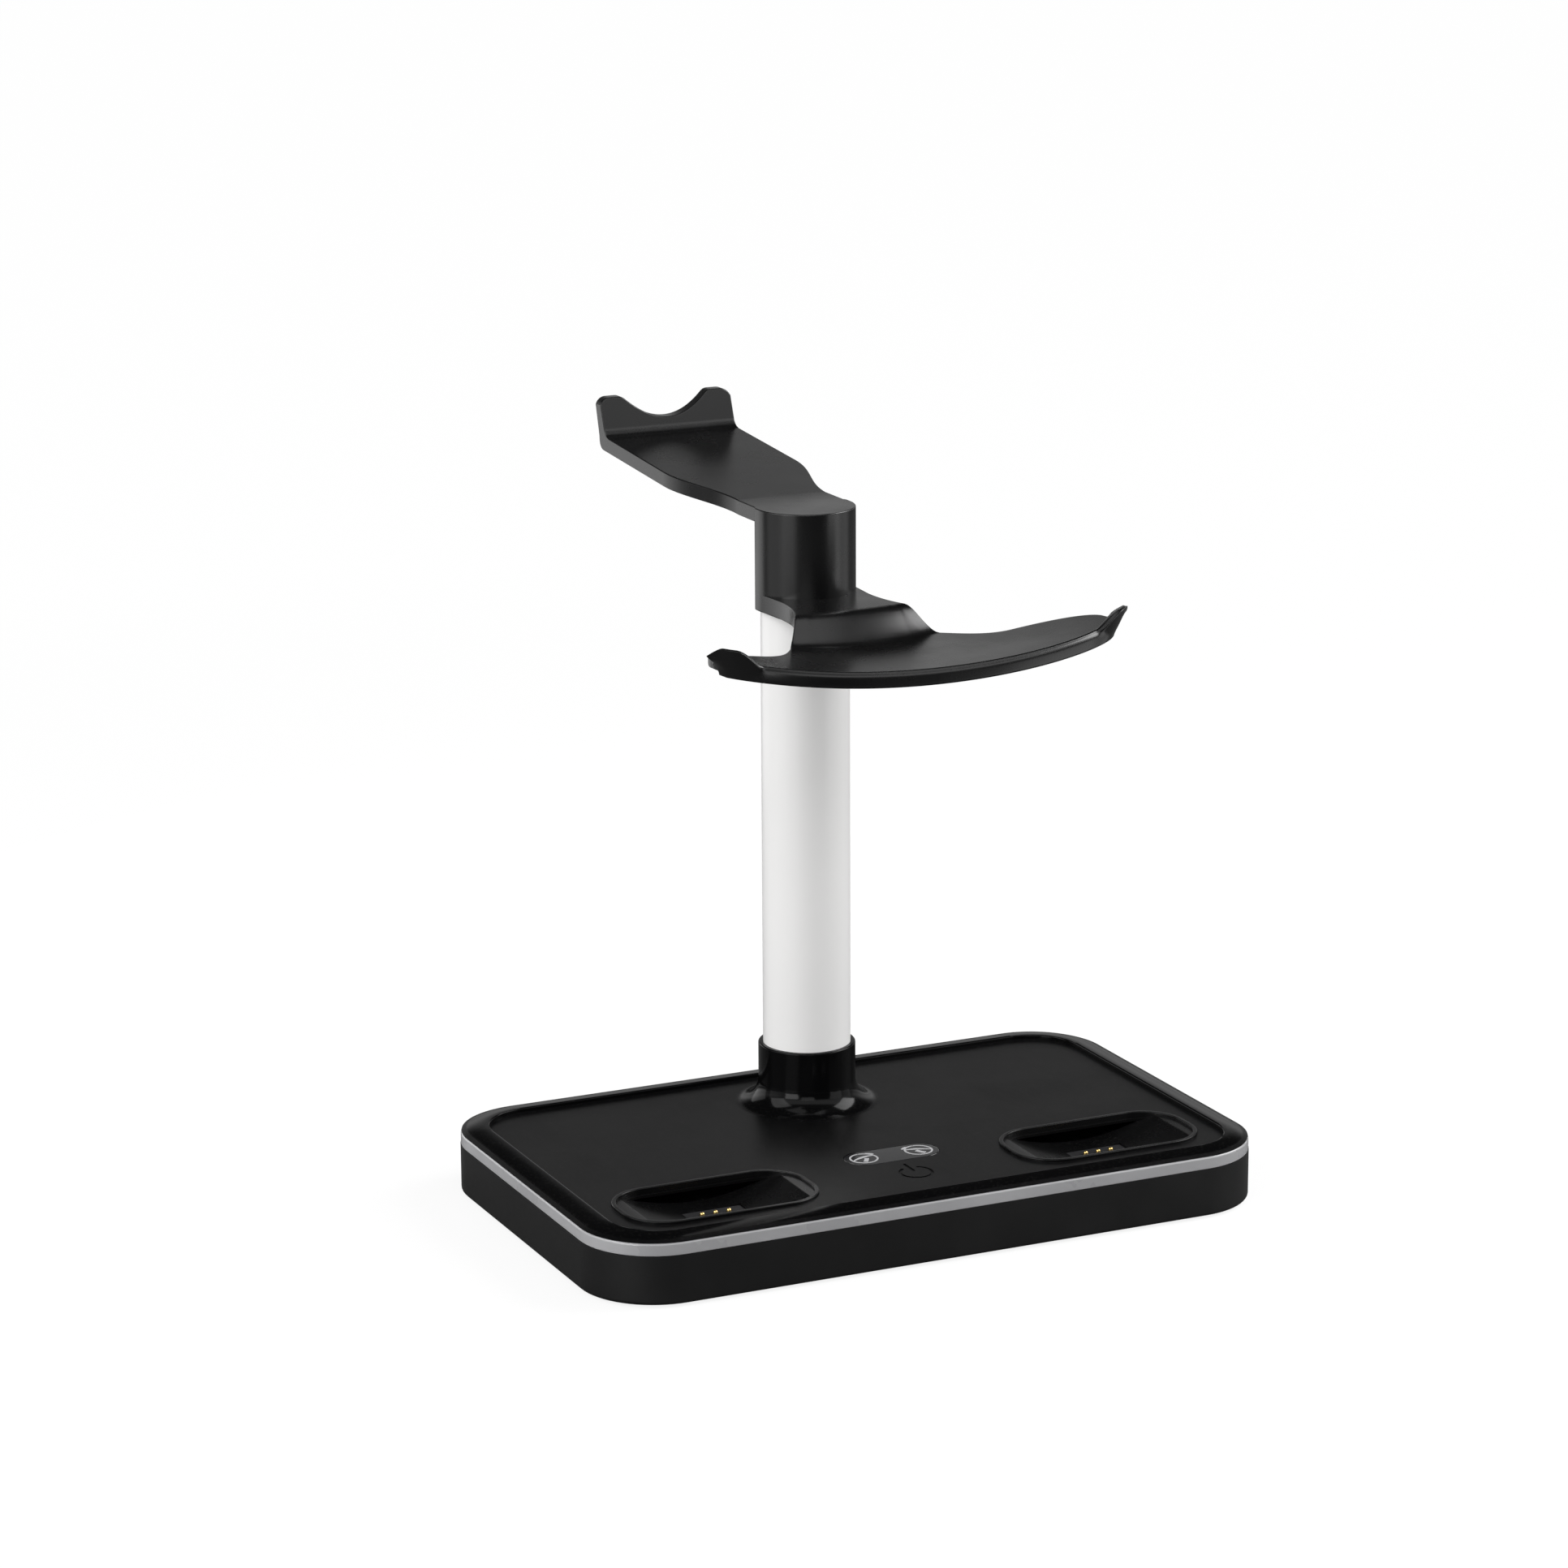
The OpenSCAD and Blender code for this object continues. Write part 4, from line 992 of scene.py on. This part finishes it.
@dataclass
class Bracket:
    """Moulding at the top: head, rear arm with its saddle, and front tray."""

    finishes: Finishes
    pole_y: float = 34.8
    head_top: float = 218.9
    head_h: float = 27.2
    head_r: float = 16.25
    head_back: float = 4.0
    head_roof: float = 12.0
    head_corner: float = 1.5
    socket_d: float = 28.7
    insert_d: float = 9.1
    insert_h: float = 10.0
    arm_reach: float = 106.4
    arm_neck: float = 15.6
    arm_half: float = 23.9
    arm_t: float = 4.8
    arm_rise: float = 6.6
    arm_bend: float = 17.0
    arm_grow: float = 57.0
    ear_h: float = 12.4
    notch_depth: float = 7.5
    notch_half: float = 16.8
    notch_turn: float = 0.86
    saddle_lean: float = 3.8
    saddle_t: float = 4.2
    ear_round: float = 4.0
    pocket_edge: float = 2.4
    pocket_depth: float = 2.2
    rib_t: float = 1.6
    bays: int = 5
    tray_reach: float = 98.6
    tray_half: float = 67.0
    tray_t: float = 3.1
    tray_sweep: float = 17.0
    tray_smile: float = 5.8
    tray_drop: float = 9.0
    tray_tilt: float = 0.05
    drop_len: float = 13.0
    neck_t: float = 5.6
    lip_h: float = 1.0
    horn_h: float = 4.7
    horn_lean: float = 5.2
    horn_back: float = 1.2
    edge_round: float = 0.4
    stations: int = 26
    fine: int = 5
    across: int = 48
    behind: float = 0.25

    def build(self) -> None:
        """Builds and dresses the bracket."""
        moulding = self._arm()
        cut_or_join(moulding, self._head(), "UNION")
        tidy_flats(moulding)
        round_edges(moulding, self.edge_round, 40, 3)
        cut_or_join(moulding, self._pockets(), "DIFFERENCE")
        cut_or_join(moulding, self._tray(), "UNION")
        y, r = self.pole_y, self.socket_d / 2
        socket = prism("socket", arc((0, y), r, 0, 356.25, 95), self.neck_under - 0.5, self.socket_top)
        cut_or_join(moulding, socket, "DIFFERENCE")
        seat = prism("seat", arc((0, y), self.insert_d / 2, 0, 352.5, 47), self.socket_top - 0.5,
                     self.socket_top + self.insert_h)
        cut_or_join(moulding, seat, "DIFFERENCE")
        smooth(moulding, 50, self.neck_top + 0.3)
        moulding.name = moulding.data.name = "bracket_moulding"
        dress(moulding, self.finishes.bracket)
        settle(moulding, Body.STAND, ("headset_bracket",))

    @property
    def neck_top(self) -> float:
        """Height of the neck's top."""
        return self.head_top - self.head_h

    @property
    def neck_under(self) -> float:
        """Height of the neck's underside."""
        return self.neck_top - self.neck_t

    @property
    def socket_top(self) -> float:
        """Height of the roof of the pole's socket."""
        return self.head_top - self.head_roof

    @property
    def tray_front(self) -> float:
        """Place of the tray's front edge."""
        return self.pole_y - self.tray_reach

    def _arm_side(self, y: float) -> float:
        """Gives the half width of the arm at a place along it."""
        grown = ease((y - self.pole_y - self.arm_bend) / (self.arm_grow - self.arm_bend))
        return self.arm_neck + (self.arm_half - self.arm_neck) * grown

    def _arm_plan(self, inset: float) -> list[Point2]:
        """Gives the plan of the arm, drawn in by an inset."""
        steps = 60
        back = self.pole_y + self.arm_reach + self.saddle_lean + self.saddle_t + 4
        ys = [self.pole_y + (back - self.pole_y) * i / steps for i in range(steps + 1)]
        return ([(self._arm_side(y) - inset, y) for y in ys]
                + [(inset - self._arm_side(y), y) for y in reversed(ys)])

    def _arm(self) -> bpy.types.Object:
        """Makes the arm with its upright, notched saddle plate; the pockets below it are cut afterwards in build."""
        low, top = self.head_top - 2 * self.arm_t, self.head_top
        wide = 2 * self.arm_half
        fold_y, fold_z = self.pole_y + self.arm_reach, top + self.arm_rise
        bend_y = self.pole_y + self.arm_bend
        ear_top = fold_z + self.ear_h
        lean = math.degrees(math.atan(self.saddle_lean / self.ear_h))
        outer = fold_y + self.saddle_t
        bend = 4.0
        side = ([(self.pole_y, top), (bend_y, top), (fold_y - bend, fold_z - 0.2)]
                + arc((fold_y - bend, fold_z + bend), bend, 280, 360 - lean, 14)
                + [(fold_y + self.saddle_lean, ear_top + 1), (outer + self.saddle_lean, ear_top + 1),
                   (outer, fold_z)]
                + arc((outer - 3.6, fold_z - self.arm_t + 3.4), 3.4, 0, -85, 12)
                + [(bend_y, top - self.arm_t), (self.pole_y, top - self.arm_t)])
        arm = prism("arm", side, -wide, wide, "X")
        cut_or_join(arm, prism("plan", self._arm_plan(0), low, ear_top + 4), "INTERSECT")
        half, corner = self.arm_half + 0.3, self.ear_round
        steps = 32
        notch = []
        for i in range(-steps, steps + 1):
            u, turn = abs(i) / steps, self.notch_turn
            dip = 1 - u * u / turn if u < turn else (1 - u) ** 2 / (1 - turn)
            notch.append((self.notch_half * i / steps, ear_top - self.notch_depth * dip))
        front = ([(-half, low)] + arc((corner - half, ear_top - corner), corner, 180, 90, 10) + notch
                 + arc((half - corner, ear_top - corner), corner, 90, 0, 10) + [(half, low)])
        cut_or_join(arm, prism("front", front, 0, 2 * fold_y, "Y"), "INTERSECT")
        return arm

    def _pockets(self) -> bpy.types.Object:
        """Makes the solid that is cut from below the arm and leaves its edge and ribs."""
        low, top = self.head_top - 2 * self.arm_t, self.head_top
        wide = 2 * self.arm_half
        fold_y = self.pole_y + self.arm_reach
        bend_y, end_y = self.pole_y + self.arm_bend, fold_y - 4.0
        slope = self.arm_rise / (fold_y - bend_y)
        under = top - self.arm_t
        rise = slope * (end_y - bend_y)
        pocket = prism("pocket", [(bend_y, under - 0.5), (end_y, under + rise - 0.5),
                                  (end_y, under + rise + self.pocket_depth),
                                  (bend_y, under + self.pocket_depth)], -wide, wide, "X")
        cut_or_join(pocket, prism("inset", self._arm_plan(self.pocket_edge), low, top + 9), "INTERSECT")
        h = self.rib_t / 2
        ribs = [prism("rib", [(-h, bend_y - 1), (h, bend_y - 1), (h, end_y + 1), (-h, end_y + 1)], low, top + 9)]
        for i in range(1, self.bays):
            y = bend_y + (end_y - bend_y) * i / self.bays
            ribs.append(prism("rib", [(-wide, y - h), (wide, y - h), (wide, y + h), (-wide, y + h)], low, top + 9))
        for rib in ribs:
            cut_or_join(pocket, rib, "DIFFERENCE")
        return pocket

    def _head(self) -> bpy.types.Object:
        """Makes the head: round in front and straight behind the pole."""
        r, y, c = self.head_r, self.pole_y, self.head_corner
        back = y + self.head_back
        outline = (arc((0, y), r, 180, 360, 72) + arc((r - c, back - c), c, 0, 90, 6)
                   + arc((c - r, back - c), c, 90, 180, 6))
        return prism("head", outline, self.neck_under - 0.15, self.head_top)

    def _curves(self) -> dict[str, list[Point2]]:
        """Gives the curves of the tray's plan: front edge, wing end, shoulder and side of the neck."""
        h, f, y = self.tray_half, self.tray_front, self.pole_y
        shoulder = (43.0, y - 59.8)
        waist = (24.0, y - 40.8)
        return {
            "front": [(0, f), (0.51 * h, f), (0.95 * h, f + 2.5), (h, f + self.tray_sweep)],
            "wing": [(h - 0.5, f + self.tray_sweep + 6), (h + 0.3, y - 68.3), (h - 8.5, y - 60.8), shoulder],
            "shoulder": [shoulder, (33.5, y - 59.6), (29.5, y - 48.8), waist],
            "side": [waist, (17.5, y - 32.3), (self.head_r - 3, y - 22), (self.head_r - 0.1, y - 1.8)],
        }

    def _rear_point(self, i: float) -> Point2:
        """Gives the rear end of a station."""
        c = self._curves()
        if i <= 4:
            return (c["side"][3][0] * i / 4, c["side"][3][1])
        if i <= 10:
            return cubic(c["side"], 1 - (i - 4) / 6)
        if i <= 16:
            return cubic(c["shoulder"], 1 - (i - 10) / 6)
        return cubic(c["wing"], 1 - (i - 16) / (self.stations - 16))

    def _front_param(self, i: float) -> float:
        """Gives a station's place along the front curve."""
        table = ((0, 0.0), (4, 0.09), (10, 0.21), (16, 0.49), (self.stations, 1.0))
        for (a, p), (b, q) in zip(table, table[1:]):
            if i <= b:
                return p + (q - p) * (i - a) / (b - a)
        return 1.0

    def _level(self, x: float, y: float) -> float:
        """Gives the height of the tray's top."""
        return (self.neck_top - self.tray_drop + self.tray_tilt * (self.pole_y - 41.8 - y)
                + self.tray_smile * (x / 60) ** 2)

    def _skin(self, x: float, y: float, lower: bool) -> float:
        """Gives the height of the sheet's top or underside, from neck to tray."""
        shift = 3.5 if lower else 0.0
        s = ease((self.pole_y - 35.3 + 0.006 * x * x + shift - y) / self.drop_len)
        start = self.neck_under if lower else self.neck_top
        return start * (1 - s) + (self._level(x, y) - (self.tray_t if lower else 0.0)) * s

    def _edge_profile(self, x: float) -> list[Point2]:
        """Gives the rounded section of the lip, as run and rise from the front edge."""
        t = self.tray_t
        top = (self.lip_h + self.horn_h * ease((x - self.tray_half + 10) / 6)
               - 3 * (max(0.0, x - self.tray_half + 2) / 2) ** 2)
        lean = self.horn_lean * ease((x - self.tray_half + 11) / 8)
        knots = [(-3.7, 0.02), (-3.2, 0.15), (lean * 0.4 - 2.9, top * 0.6), (lean - 2.5, top - 0.1),
                 (lean - 1.9, top), (lean - 1.3, top - 0.15), (lean - 1, top - 0.6), (lean * 0.3 - 0.4, -0.6),
                 (0.0, -t), (-0.2, -t - 0.6), (-0.8, -t - 0.8), (-3.7, -t)]
        fine = []
        for k in range(len(knots) - 1):
            a, b = knots[max(0, k - 1)], knots[k]
            c, d = knots[k + 1], knots[min(len(knots) - 1, k + 2)]
            for m in range(4):
                u = m / 4
                fine.append(tuple(0.5 * (2 * b[n] + (c[n] - a[n]) * u
                                         + (2 * a[n] - 5 * b[n] + 4 * c[n] - d[n]) * u * u
                                         + (3 * b[n] - a[n] - 3 * c[n] + d[n]) * u ** 3) for n in (0, 1)))
        return fine + [knots[-1]]

    def _ring(self, i: float) -> list[Point3]:
        """Gives the closed ring of points through the sheet at one station of the right half."""
        curves = self._curves()
        rear = self._rear_point(i)
        t = self._front_param(i)
        front = cubic(curves["front"], t)
        a, b = cubic(curves["front"], max(0.0, t - 0.01)), cubic(curves["front"], min(1.0, t + 0.01))
        length = math.hypot(b[0] - a[0], b[1] - a[1])
        out = ((b[1] - a[1]) / length, -(b[0] - a[0]) / length)
        run = math.hypot(front[0] - rear[0], front[1] - rear[1])
        ahead = ((front[0] - rear[0]) / run, (front[1] - rear[1]) / run)
        k = min(1.0, run / 12)
        start, end = rear[1] - 1.4 * k, front[1] - 4.6 * k * out[1]
        bend = min(self.pole_y - 34 + 0.006 * front[0] ** 2, start + (end - start) * 0.12)
        mids = []
        for j in range(self.across):
            u = (j + 0.5) / self.across
            y = start + (bend - start) * u / self.behind if u < self.behind else (
                bend + (end - bend) * (u - self.behind) / (1 - self.behind))
            share = (rear[1] - y) / (rear[1] - front[1])
            mids.append((rear[0] + (front[0] - rear[0]) * share, y))
        base = self._level(front[0] - 3.7 * k * out[0], front[1] - 3.7 * k * out[1])
        turn = [(1 - math.cos(a), math.sin(a) - 1) for a in (math.pi / 2 * q / 4 for q in range(5))]
        ring: list[Point3] = []
        for q, drop in turn:
            x, y = rear[0] + ahead[0] * q * k, rear[1] + ahead[1] * q * k
            ring.append((x, y, self._skin(x, y, False) + drop))
        ring += [(x, y, self._skin(x, y, False)) for x, y in mids]
        sway = self.horn_back * ease((front[0] - self.tray_half + 9) / 7) / (self.lip_h + self.horn_h)
        for e, rise in self._edge_profile(front[0]):
            e = e * k if e < 0 else e
            ring.append((front[0] + out[0] * e, front[1] + out[1] * e + sway * max(0.0, rise), base + rise))
        ring += [(x, y, self._skin(x, y, True)) for x, y in reversed(mids)]
        for q, drop in reversed(turn):
            x, y = rear[0] + ahead[0] * q * k, rear[1] + ahead[1] * q * k
            ring.append((x, y, self._skin(x, y, True) - drop))
        return ring

    def _tray(self) -> bpy.types.Object:
        """Makes the tray and its neck as one closed sheet."""
        half = [self._ring(i / self.fine) for i in range(self.stations * self.fine + 1)]
        rings = [[(-x, y, z) for x, y, z in ring] for ring in reversed(half[1:])] + half
        columns, rows = len(rings), len(rings[0])
        deselect()
        bpy.ops.mesh.primitive_grid_add(x_subdivisions=columns - 1, y_subdivisions=rows, size=1.0)
        tray = bpy.context.object
        tray.name = tray.data.name = "tray"
        for index, vertex in enumerate(tray.data.vertices):
            row, column = divmod(index, columns)
            vertex.co = Vector(rings[column][row % rows]) * MM
        merge_points(tray)
        select_only(tray)
        bpy.ops.object.mode_set(mode="EDIT")
        bpy.ops.mesh.select_mode(type="EDGE")
        for side in (-1, 1):
            bpy.ops.mesh.select_all(action="DESELECT")
            mesh = bmesh.from_edit_mesh(tray.data)
            for edge in mesh.edges:
                if edge.is_boundary and edge.verts[0].co.x * side > 0:
                    edge.select_set(True)
            bmesh.update_edit_mesh(tray.data)
            bpy.ops.mesh.fill()
        bpy.ops.mesh.select_all(action="SELECT")
        bpy.ops.mesh.normals_make_consistent(inside=False)
        bpy.ops.object.mode_set(mode="OBJECT")
        return tray


@dataclass
class StatusWindow:
    """Smoked window with a printed sign for each controller."""

    finishes: Finishes
    level: float = 21.2
    signs_y: float = -27.4
    signs_x: float = 9.6
    sign_radius: float = 4.35
    stroke: float = 0.62
    print_height: float = 0.04

    def build(self) -> None:
        """Builds and dresses the window and its signs."""
        pane = copy_of_node("status_window", "window_pane")
        round_loops(pane, 0.22, lambda p: p.z > 21.15)
        smooth(pane, 35)
        dress(pane, self.finishes.window)
        settle(pane, Body.STAND, ("status_window",))
        for side in Side:
            self._sign(side)

    def _sign(self, side: Side) -> None:
        """Prints one sign: a ring with a bent grip across it and a short key above."""
        s = side.value
        centre = (s * self.signs_x, self.signs_y)
        half = self.stroke / 2
        low, high = self.level - 0.01, self.level + self.print_height

        def put(x: float, y: float) -> Point2:
            """Places a point of the sign, mirrored for its side."""
            return (centre[0] + s * x, centre[1] + y)

        def band(name: str, line: Sequence[Point2], widths: Sequence[float]) -> bpy.types.Object:
            """Prints a band of changing width along a line."""
            left, right = [], []
            for k, (x, y) in enumerate(line):
                before, after = line[max(0, k - 1)], line[min(len(line) - 1, k + 1)]
                dx, dy = after[0] - before[0], after[1] - before[1]
                run = math.hypot(dx, dy)
                w = widths[k] / 2
                left.append(put(x - dy / run * w, y + dx / run * w))
                right.append(put(x + dy / run * w, y - dx / run * w))
            return prism(name, left + right[::-1], low, high)

        sweep = [cubic(((-4.1, 1.5), (-1.6, 1.9), (1.6, 0.9), (4.2, -1.2)), t / 12) for t in range(13)]
        widths = [0.5 + 1.0 * math.sin(math.pi * t / 12) ** 2 * (1 - t / 24) for t in range(13)]
        word = side.name.lower()
        sign = prism(f"{word}_sign", ring_outline(centre, self.sign_radius, half, 92, 448), low, high)
        grip = band("grip", sweep, widths)
        stem = band("stem", [(-0.9, -0.2), (-0.2, -1.6), (0.9, -3.2)], [1.5, 1.4, 1.5])
        key = band("key", [(-4.6, 2.6), (-3.6, 3.4), (-2.4, 4.2)], [0.7, 1.0, 0.7])
        for extra in (grip, stem, key):
            cut_or_join(sign, extra, "UNION")
        smooth(sign, 30)
        dress(sign, self.finishes.symbol)
        settle(sign, Body.STAND)


# Studio


@dataclass(frozen=True)
class PhotoCamera:
    """Camera at the photograph's viewing angle."""

    place: Point3 = (-0.64678, -1.33783, 0.51799)
    azimuth: float = -24.965
    elevation: float = 14.427
    roll: float = -0.294
    focal_pixels: float = 6000.0
    image_width: float = 1932.0
    sensor: float = 36.0

    def build(self) -> None:
        """Places the camera."""
        a, e, r = (math.radians(v) for v in (self.azimuth, self.elevation, self.roll))
        back = Vector((math.sin(a) * math.cos(e), -math.cos(a) * math.cos(e), math.sin(e)))
        right = Vector((math.cos(a), math.sin(a), 0.0))
        up = back.cross(right)
        turned_right = right * math.cos(r) + up * math.sin(r)
        turned_up = up * math.cos(r) - right * math.sin(r)
        data = bpy.data.cameras.new("photo_camera")
        data.sensor_width = self.sensor
        data.lens = self.focal_pixels / self.image_width * self.sensor
        data.clip_end = 50.0
        camera = bpy.data.objects.new("photo_camera", data)
        bpy.context.scene.collection.objects.link(camera)
        rows = Matrix((turned_right, turned_up, back)).transposed().to_4x4()
        camera.matrix_world = Matrix.Translation(self.place) @ rows
        bpy.context.scene.camera = camera


@dataclass(frozen=True)
class SoftLamp:
    """One soft lamp of the studio."""

    name: str
    place: Point3
    aim: Point3
    size: Point2
    power: float

    def build(self) -> None:
        """Hangs the lamp and points it at its aim."""
        data = bpy.data.lights.new(self.name, "AREA")
        data.shape = "RECTANGLE"
        data.size, data.size_y = self.size
        data.energy = self.power
        lamp = bpy.data.objects.new(self.name, data)
        bpy.context.scene.collection.objects.link(lamp)
        lamp.location = self.place
        way = Vector(self.aim) - Vector(self.place)
        lamp.rotation_euler = way.to_track_quat("-Z", "Y").to_euler()
        lamp.visible_camera = False


@dataclass
class Studio:
    """Pale floor, plain pale surroundings and soft lamps."""

    floor_size: float = 12.0
    floor_shown: float = 1.0
    floor_near: float = 0.12
    floor_far: float = 0.1
    floor_dims: Sequence[float] = (0.16, 0.42)
    floor_gloss: float = 0.03
    world_gloss: float = 0.02
    floor_share: Sequence[float] = (0.85, 0.99)
    floor_fade: Sequence[float] = (0.15, 1.0)
    glow: float = 2.0
    front_ramp: Sequence[Point2] = ((0.0, 0.0), (0.41, 0.0), (0.47, 0.75), (0.68, 0.75), (0.77, 0.02), (1.0, 0.1))
    back_ramp: Sequence[Point2] = ((0.0, 0.24), (0.1, 0.17), (0.18, 0.31), (0.24, 0.31), (0.31, 0.12), (0.4, 0.0))
    lamps: Sequence[SoftLamp] = field(default_factory=lambda: (
        SoftLamp("left_strip", (-0.483, 0.07, 0.13), (0.0, 0.03, 0.13), (0.42, 0.26), 0.22),
        SoftLamp("rear_left_strip", (-0.235, 0.47, 0.13), (0.0, 0.03, 0.13), (0.36, 0.26), 0.3),
        SoftLamp("right_strip", (0.35, -0.325, 0.13), (0.0, 0.03, 0.13), (0.28, 0.26), 0.38),
        SoftLamp("right_edge_strip", (0.483, -0.1, 0.13), (0.0, 0.03, 0.13), (0.22, 0.26), 0.14),
        SoftLamp("side_softbox", (-1.3, -0.7, 0.35), (0.0, 0.0, 0.1), (0.8, 0.6), 8.5),
        SoftLamp("front_softbox", (-0.6, -1.35, 0.62), (0.0, 0.03, 0.12), (0.8, 0.4), 2.0),
        SoftLamp("left_softbox", (-1.4, 0.2, 1.2), (0.0, 0.0, 0.1), (1.1, 1.1), 12.0),
        SoftLamp("right_softbox", (1.4, -0.2, 1.2), (0.0, 0.0, 0.1), (1.1, 1.1), 26.0),
        SoftLamp("top_softbox", (-0.1, -0.2, 1.35), (-0.1, -0.2, 0.0), (1.0, 0.8), 3.0),
    ))

    def build(self) -> None:
        """Builds the surroundings."""
        self._floor()
        self._world()
        for lamp in self.lamps:
            lamp.build()
        bpy.context.scene.view_settings.view_transform = "Standard"

    @staticmethod
    def _seen(nodes: bpy.types.Nodes, links: bpy.types.NodeLinks, gloss: float) -> bpy.types.NodeSocket:
        """Gives how far a ray shows the plain white surroundings.

        Args:
            nodes: Nodes of the material or world.
            links: Links of the material or world.
            gloss: Share for glossy rays; camera and transmission rays show all of it.

        Returns:
            The socket with the share.
        """
        path = nodes.new("ShaderNodeLightPath")
        dimmed = nodes.new("ShaderNodeMath")
        dimmed.operation = "MULTIPLY"
        dimmed.inputs[1].default_value = gloss
        links.new(path.outputs["Is Glossy Ray"], dimmed.inputs[0])
        share = dimmed.outputs[0]
        for kind in ("Is Camera Ray", "Is Transmission Ray"):
            larger = nodes.new("ShaderNodeMath")
            larger.operation = "MAXIMUM"
            links.new(share, larger.inputs[0])
            links.new(path.outputs[kind], larger.inputs[1])
            share = larger.outputs[0]
        return share

    def _floor(self) -> None:
        """Lays the floor, which shows near white, keeps the stand's shadow and mirrors dark."""
        deselect()
        bpy.ops.mesh.primitive_plane_add(size=self.floor_size)
        floor = bpy.context.object
        floor.name = "studio_floor"
        material = bpy.data.materials.new("pale_floor")
        material.use_nodes = True
        nodes, links = material.node_tree.nodes, material.node_tree.links
        shader = nodes["Principled BSDF"]
        shader.inputs["Roughness"].default_value = 1.0
        shader.inputs["Specular IOR Level"].default_value = 0.0
        path = nodes.new("ShaderNodeLightPath")
        tone = nodes.new("ShaderNodeMapRange")
        tone.inputs["To Max"].default_value = self.floor_shown
        dims = nodes.new("ShaderNodeMapRange")
        for label, value in zip(("From Min", "From Max", "To Min", "To Max"),
                                (*self.floor_dims, self.floor_near, self.floor_far)):
            dims.inputs[label].default_value = value
        white = nodes.new("ShaderNodeEmission")
        mix = nodes.new("ShaderNodeMixShader")
        place = nodes.new("ShaderNodeTexCoord")
        reach = nodes.new("ShaderNodeVectorMath")
        reach.operation = "LENGTH"
        fade = nodes.new("ShaderNodeMapRange")
        for label, value in zip(("From Min", "From Max", "To Min", "To Max"), (*self.floor_fade, *self.floor_share)):
            fade.inputs[label].default_value = value
        part = nodes.new("ShaderNodeMath")
        part.operation = "MULTIPLY"
        links.new(path.outputs["Is Camera Ray"], tone.inputs["Value"])
        links.new(tone.outputs["Result"], shader.inputs["Base Color"])
        links.new(place.outputs["Object"], reach.inputs[0])
        links.new(reach.outputs["Value"], fade.inputs["Value"])
        links.new(reach.outputs["Value"], dims.inputs["Value"])
        links.new(dims.outputs["Result"], tone.inputs["To Min"])
        links.new(fade.outputs["Result"], part.inputs[0])
        links.new(self._seen(nodes, links, self.floor_gloss), part.inputs[1])
        links.new(part.outputs[0], mix.inputs["Fac"])
        links.new(shader.outputs["BSDF"], mix.inputs[1])
        links.new(white.outputs["Emission"], mix.inputs[2])
        links.new(mix.outputs["Shader"], nodes["Material Output"].inputs["Surface"])
        dress(floor, material)

    def _world(self) -> None:
        """Makes the surroundings white to the eye, with soft light from the front and from low behind."""
        world = bpy.data.worlds.new("studio_world")
        world.use_nodes = True
        bpy.context.scene.world = world
        nodes, links = world.node_tree.nodes, world.node_tree.links
        shown = nodes["Background"]
        shown.inputs["Color"].default_value = (1.0, 1.0, 1.0, 1.0)
        light = nodes.new("ShaderNodeBackground")
        light.inputs["Strength"].default_value = self.glow
        place = nodes.new("ShaderNodeTexCoord")
        split = nodes.new("ShaderNodeSeparateXYZ")
        links.new(place.outputs["Generated"], split.inputs["Vector"])
        halves = []
        for line in (self.front_ramp, self.back_ramp):
            ramp = nodes.new("ShaderNodeValToRGB")
            stops = ramp.color_ramp.elements
            while len(stops) < len(line):
                stops.new(0.5)
            for stop, (height, level) in zip(stops, line):
                stop.position = height
                stop.color = (level, level, level, 1.0)
            links.new(split.outputs["Z"], ramp.inputs["Fac"])
            halves.append(ramp.outputs["Color"])
        behind = nodes.new("ShaderNodeMapRange")
        behind.inputs["From Min"].default_value = -0.15
        behind.inputs["From Max"].default_value = 0.15
        links.new(split.outputs["Y"], behind.inputs["Value"])
        join = nodes.new("ShaderNodeMix")
        join.data_type = "RGBA"
        colours = [socket for socket in join.inputs if socket.type == "RGBA"]
        links.new(behind.outputs["Result"], join.inputs["Factor"])
        for socket, half in zip(colours, halves):
            links.new(half, socket)
        links.new([socket for socket in join.outputs if socket.type == "RGBA"][0], light.inputs["Color"])
        mix = nodes.new("ShaderNodeMixShader")
        links.new(self._seen(nodes, links, self.world_gloss), mix.inputs["Fac"])
        links.new(light.outputs["Background"], mix.inputs[1])
        links.new(shown.outputs["Background"], mix.inputs[2])
        links.new(mix.outputs["Shader"], nodes["World Output"].inputs["Surface"])


def main() -> None:
    """Builds the camera, the stand and the studio in order."""
    logging.basicConfig(level=logging.INFO, format="%(name)s: %(message)s")
    PhotoCamera().build()
    finishes = Finishes()
    parts: Sequence[object] = (
        Base(finishes),
        Dock(finishes, Side.LEFT),
        Dock(finishes, Side.RIGHT),
        StatusWindow(finishes),
        Pole(finishes),
        Bracket(finishes),
    )
    for part in parts:
        part.build()
    Studio().build()


if __name__ == "__main__":
    main()
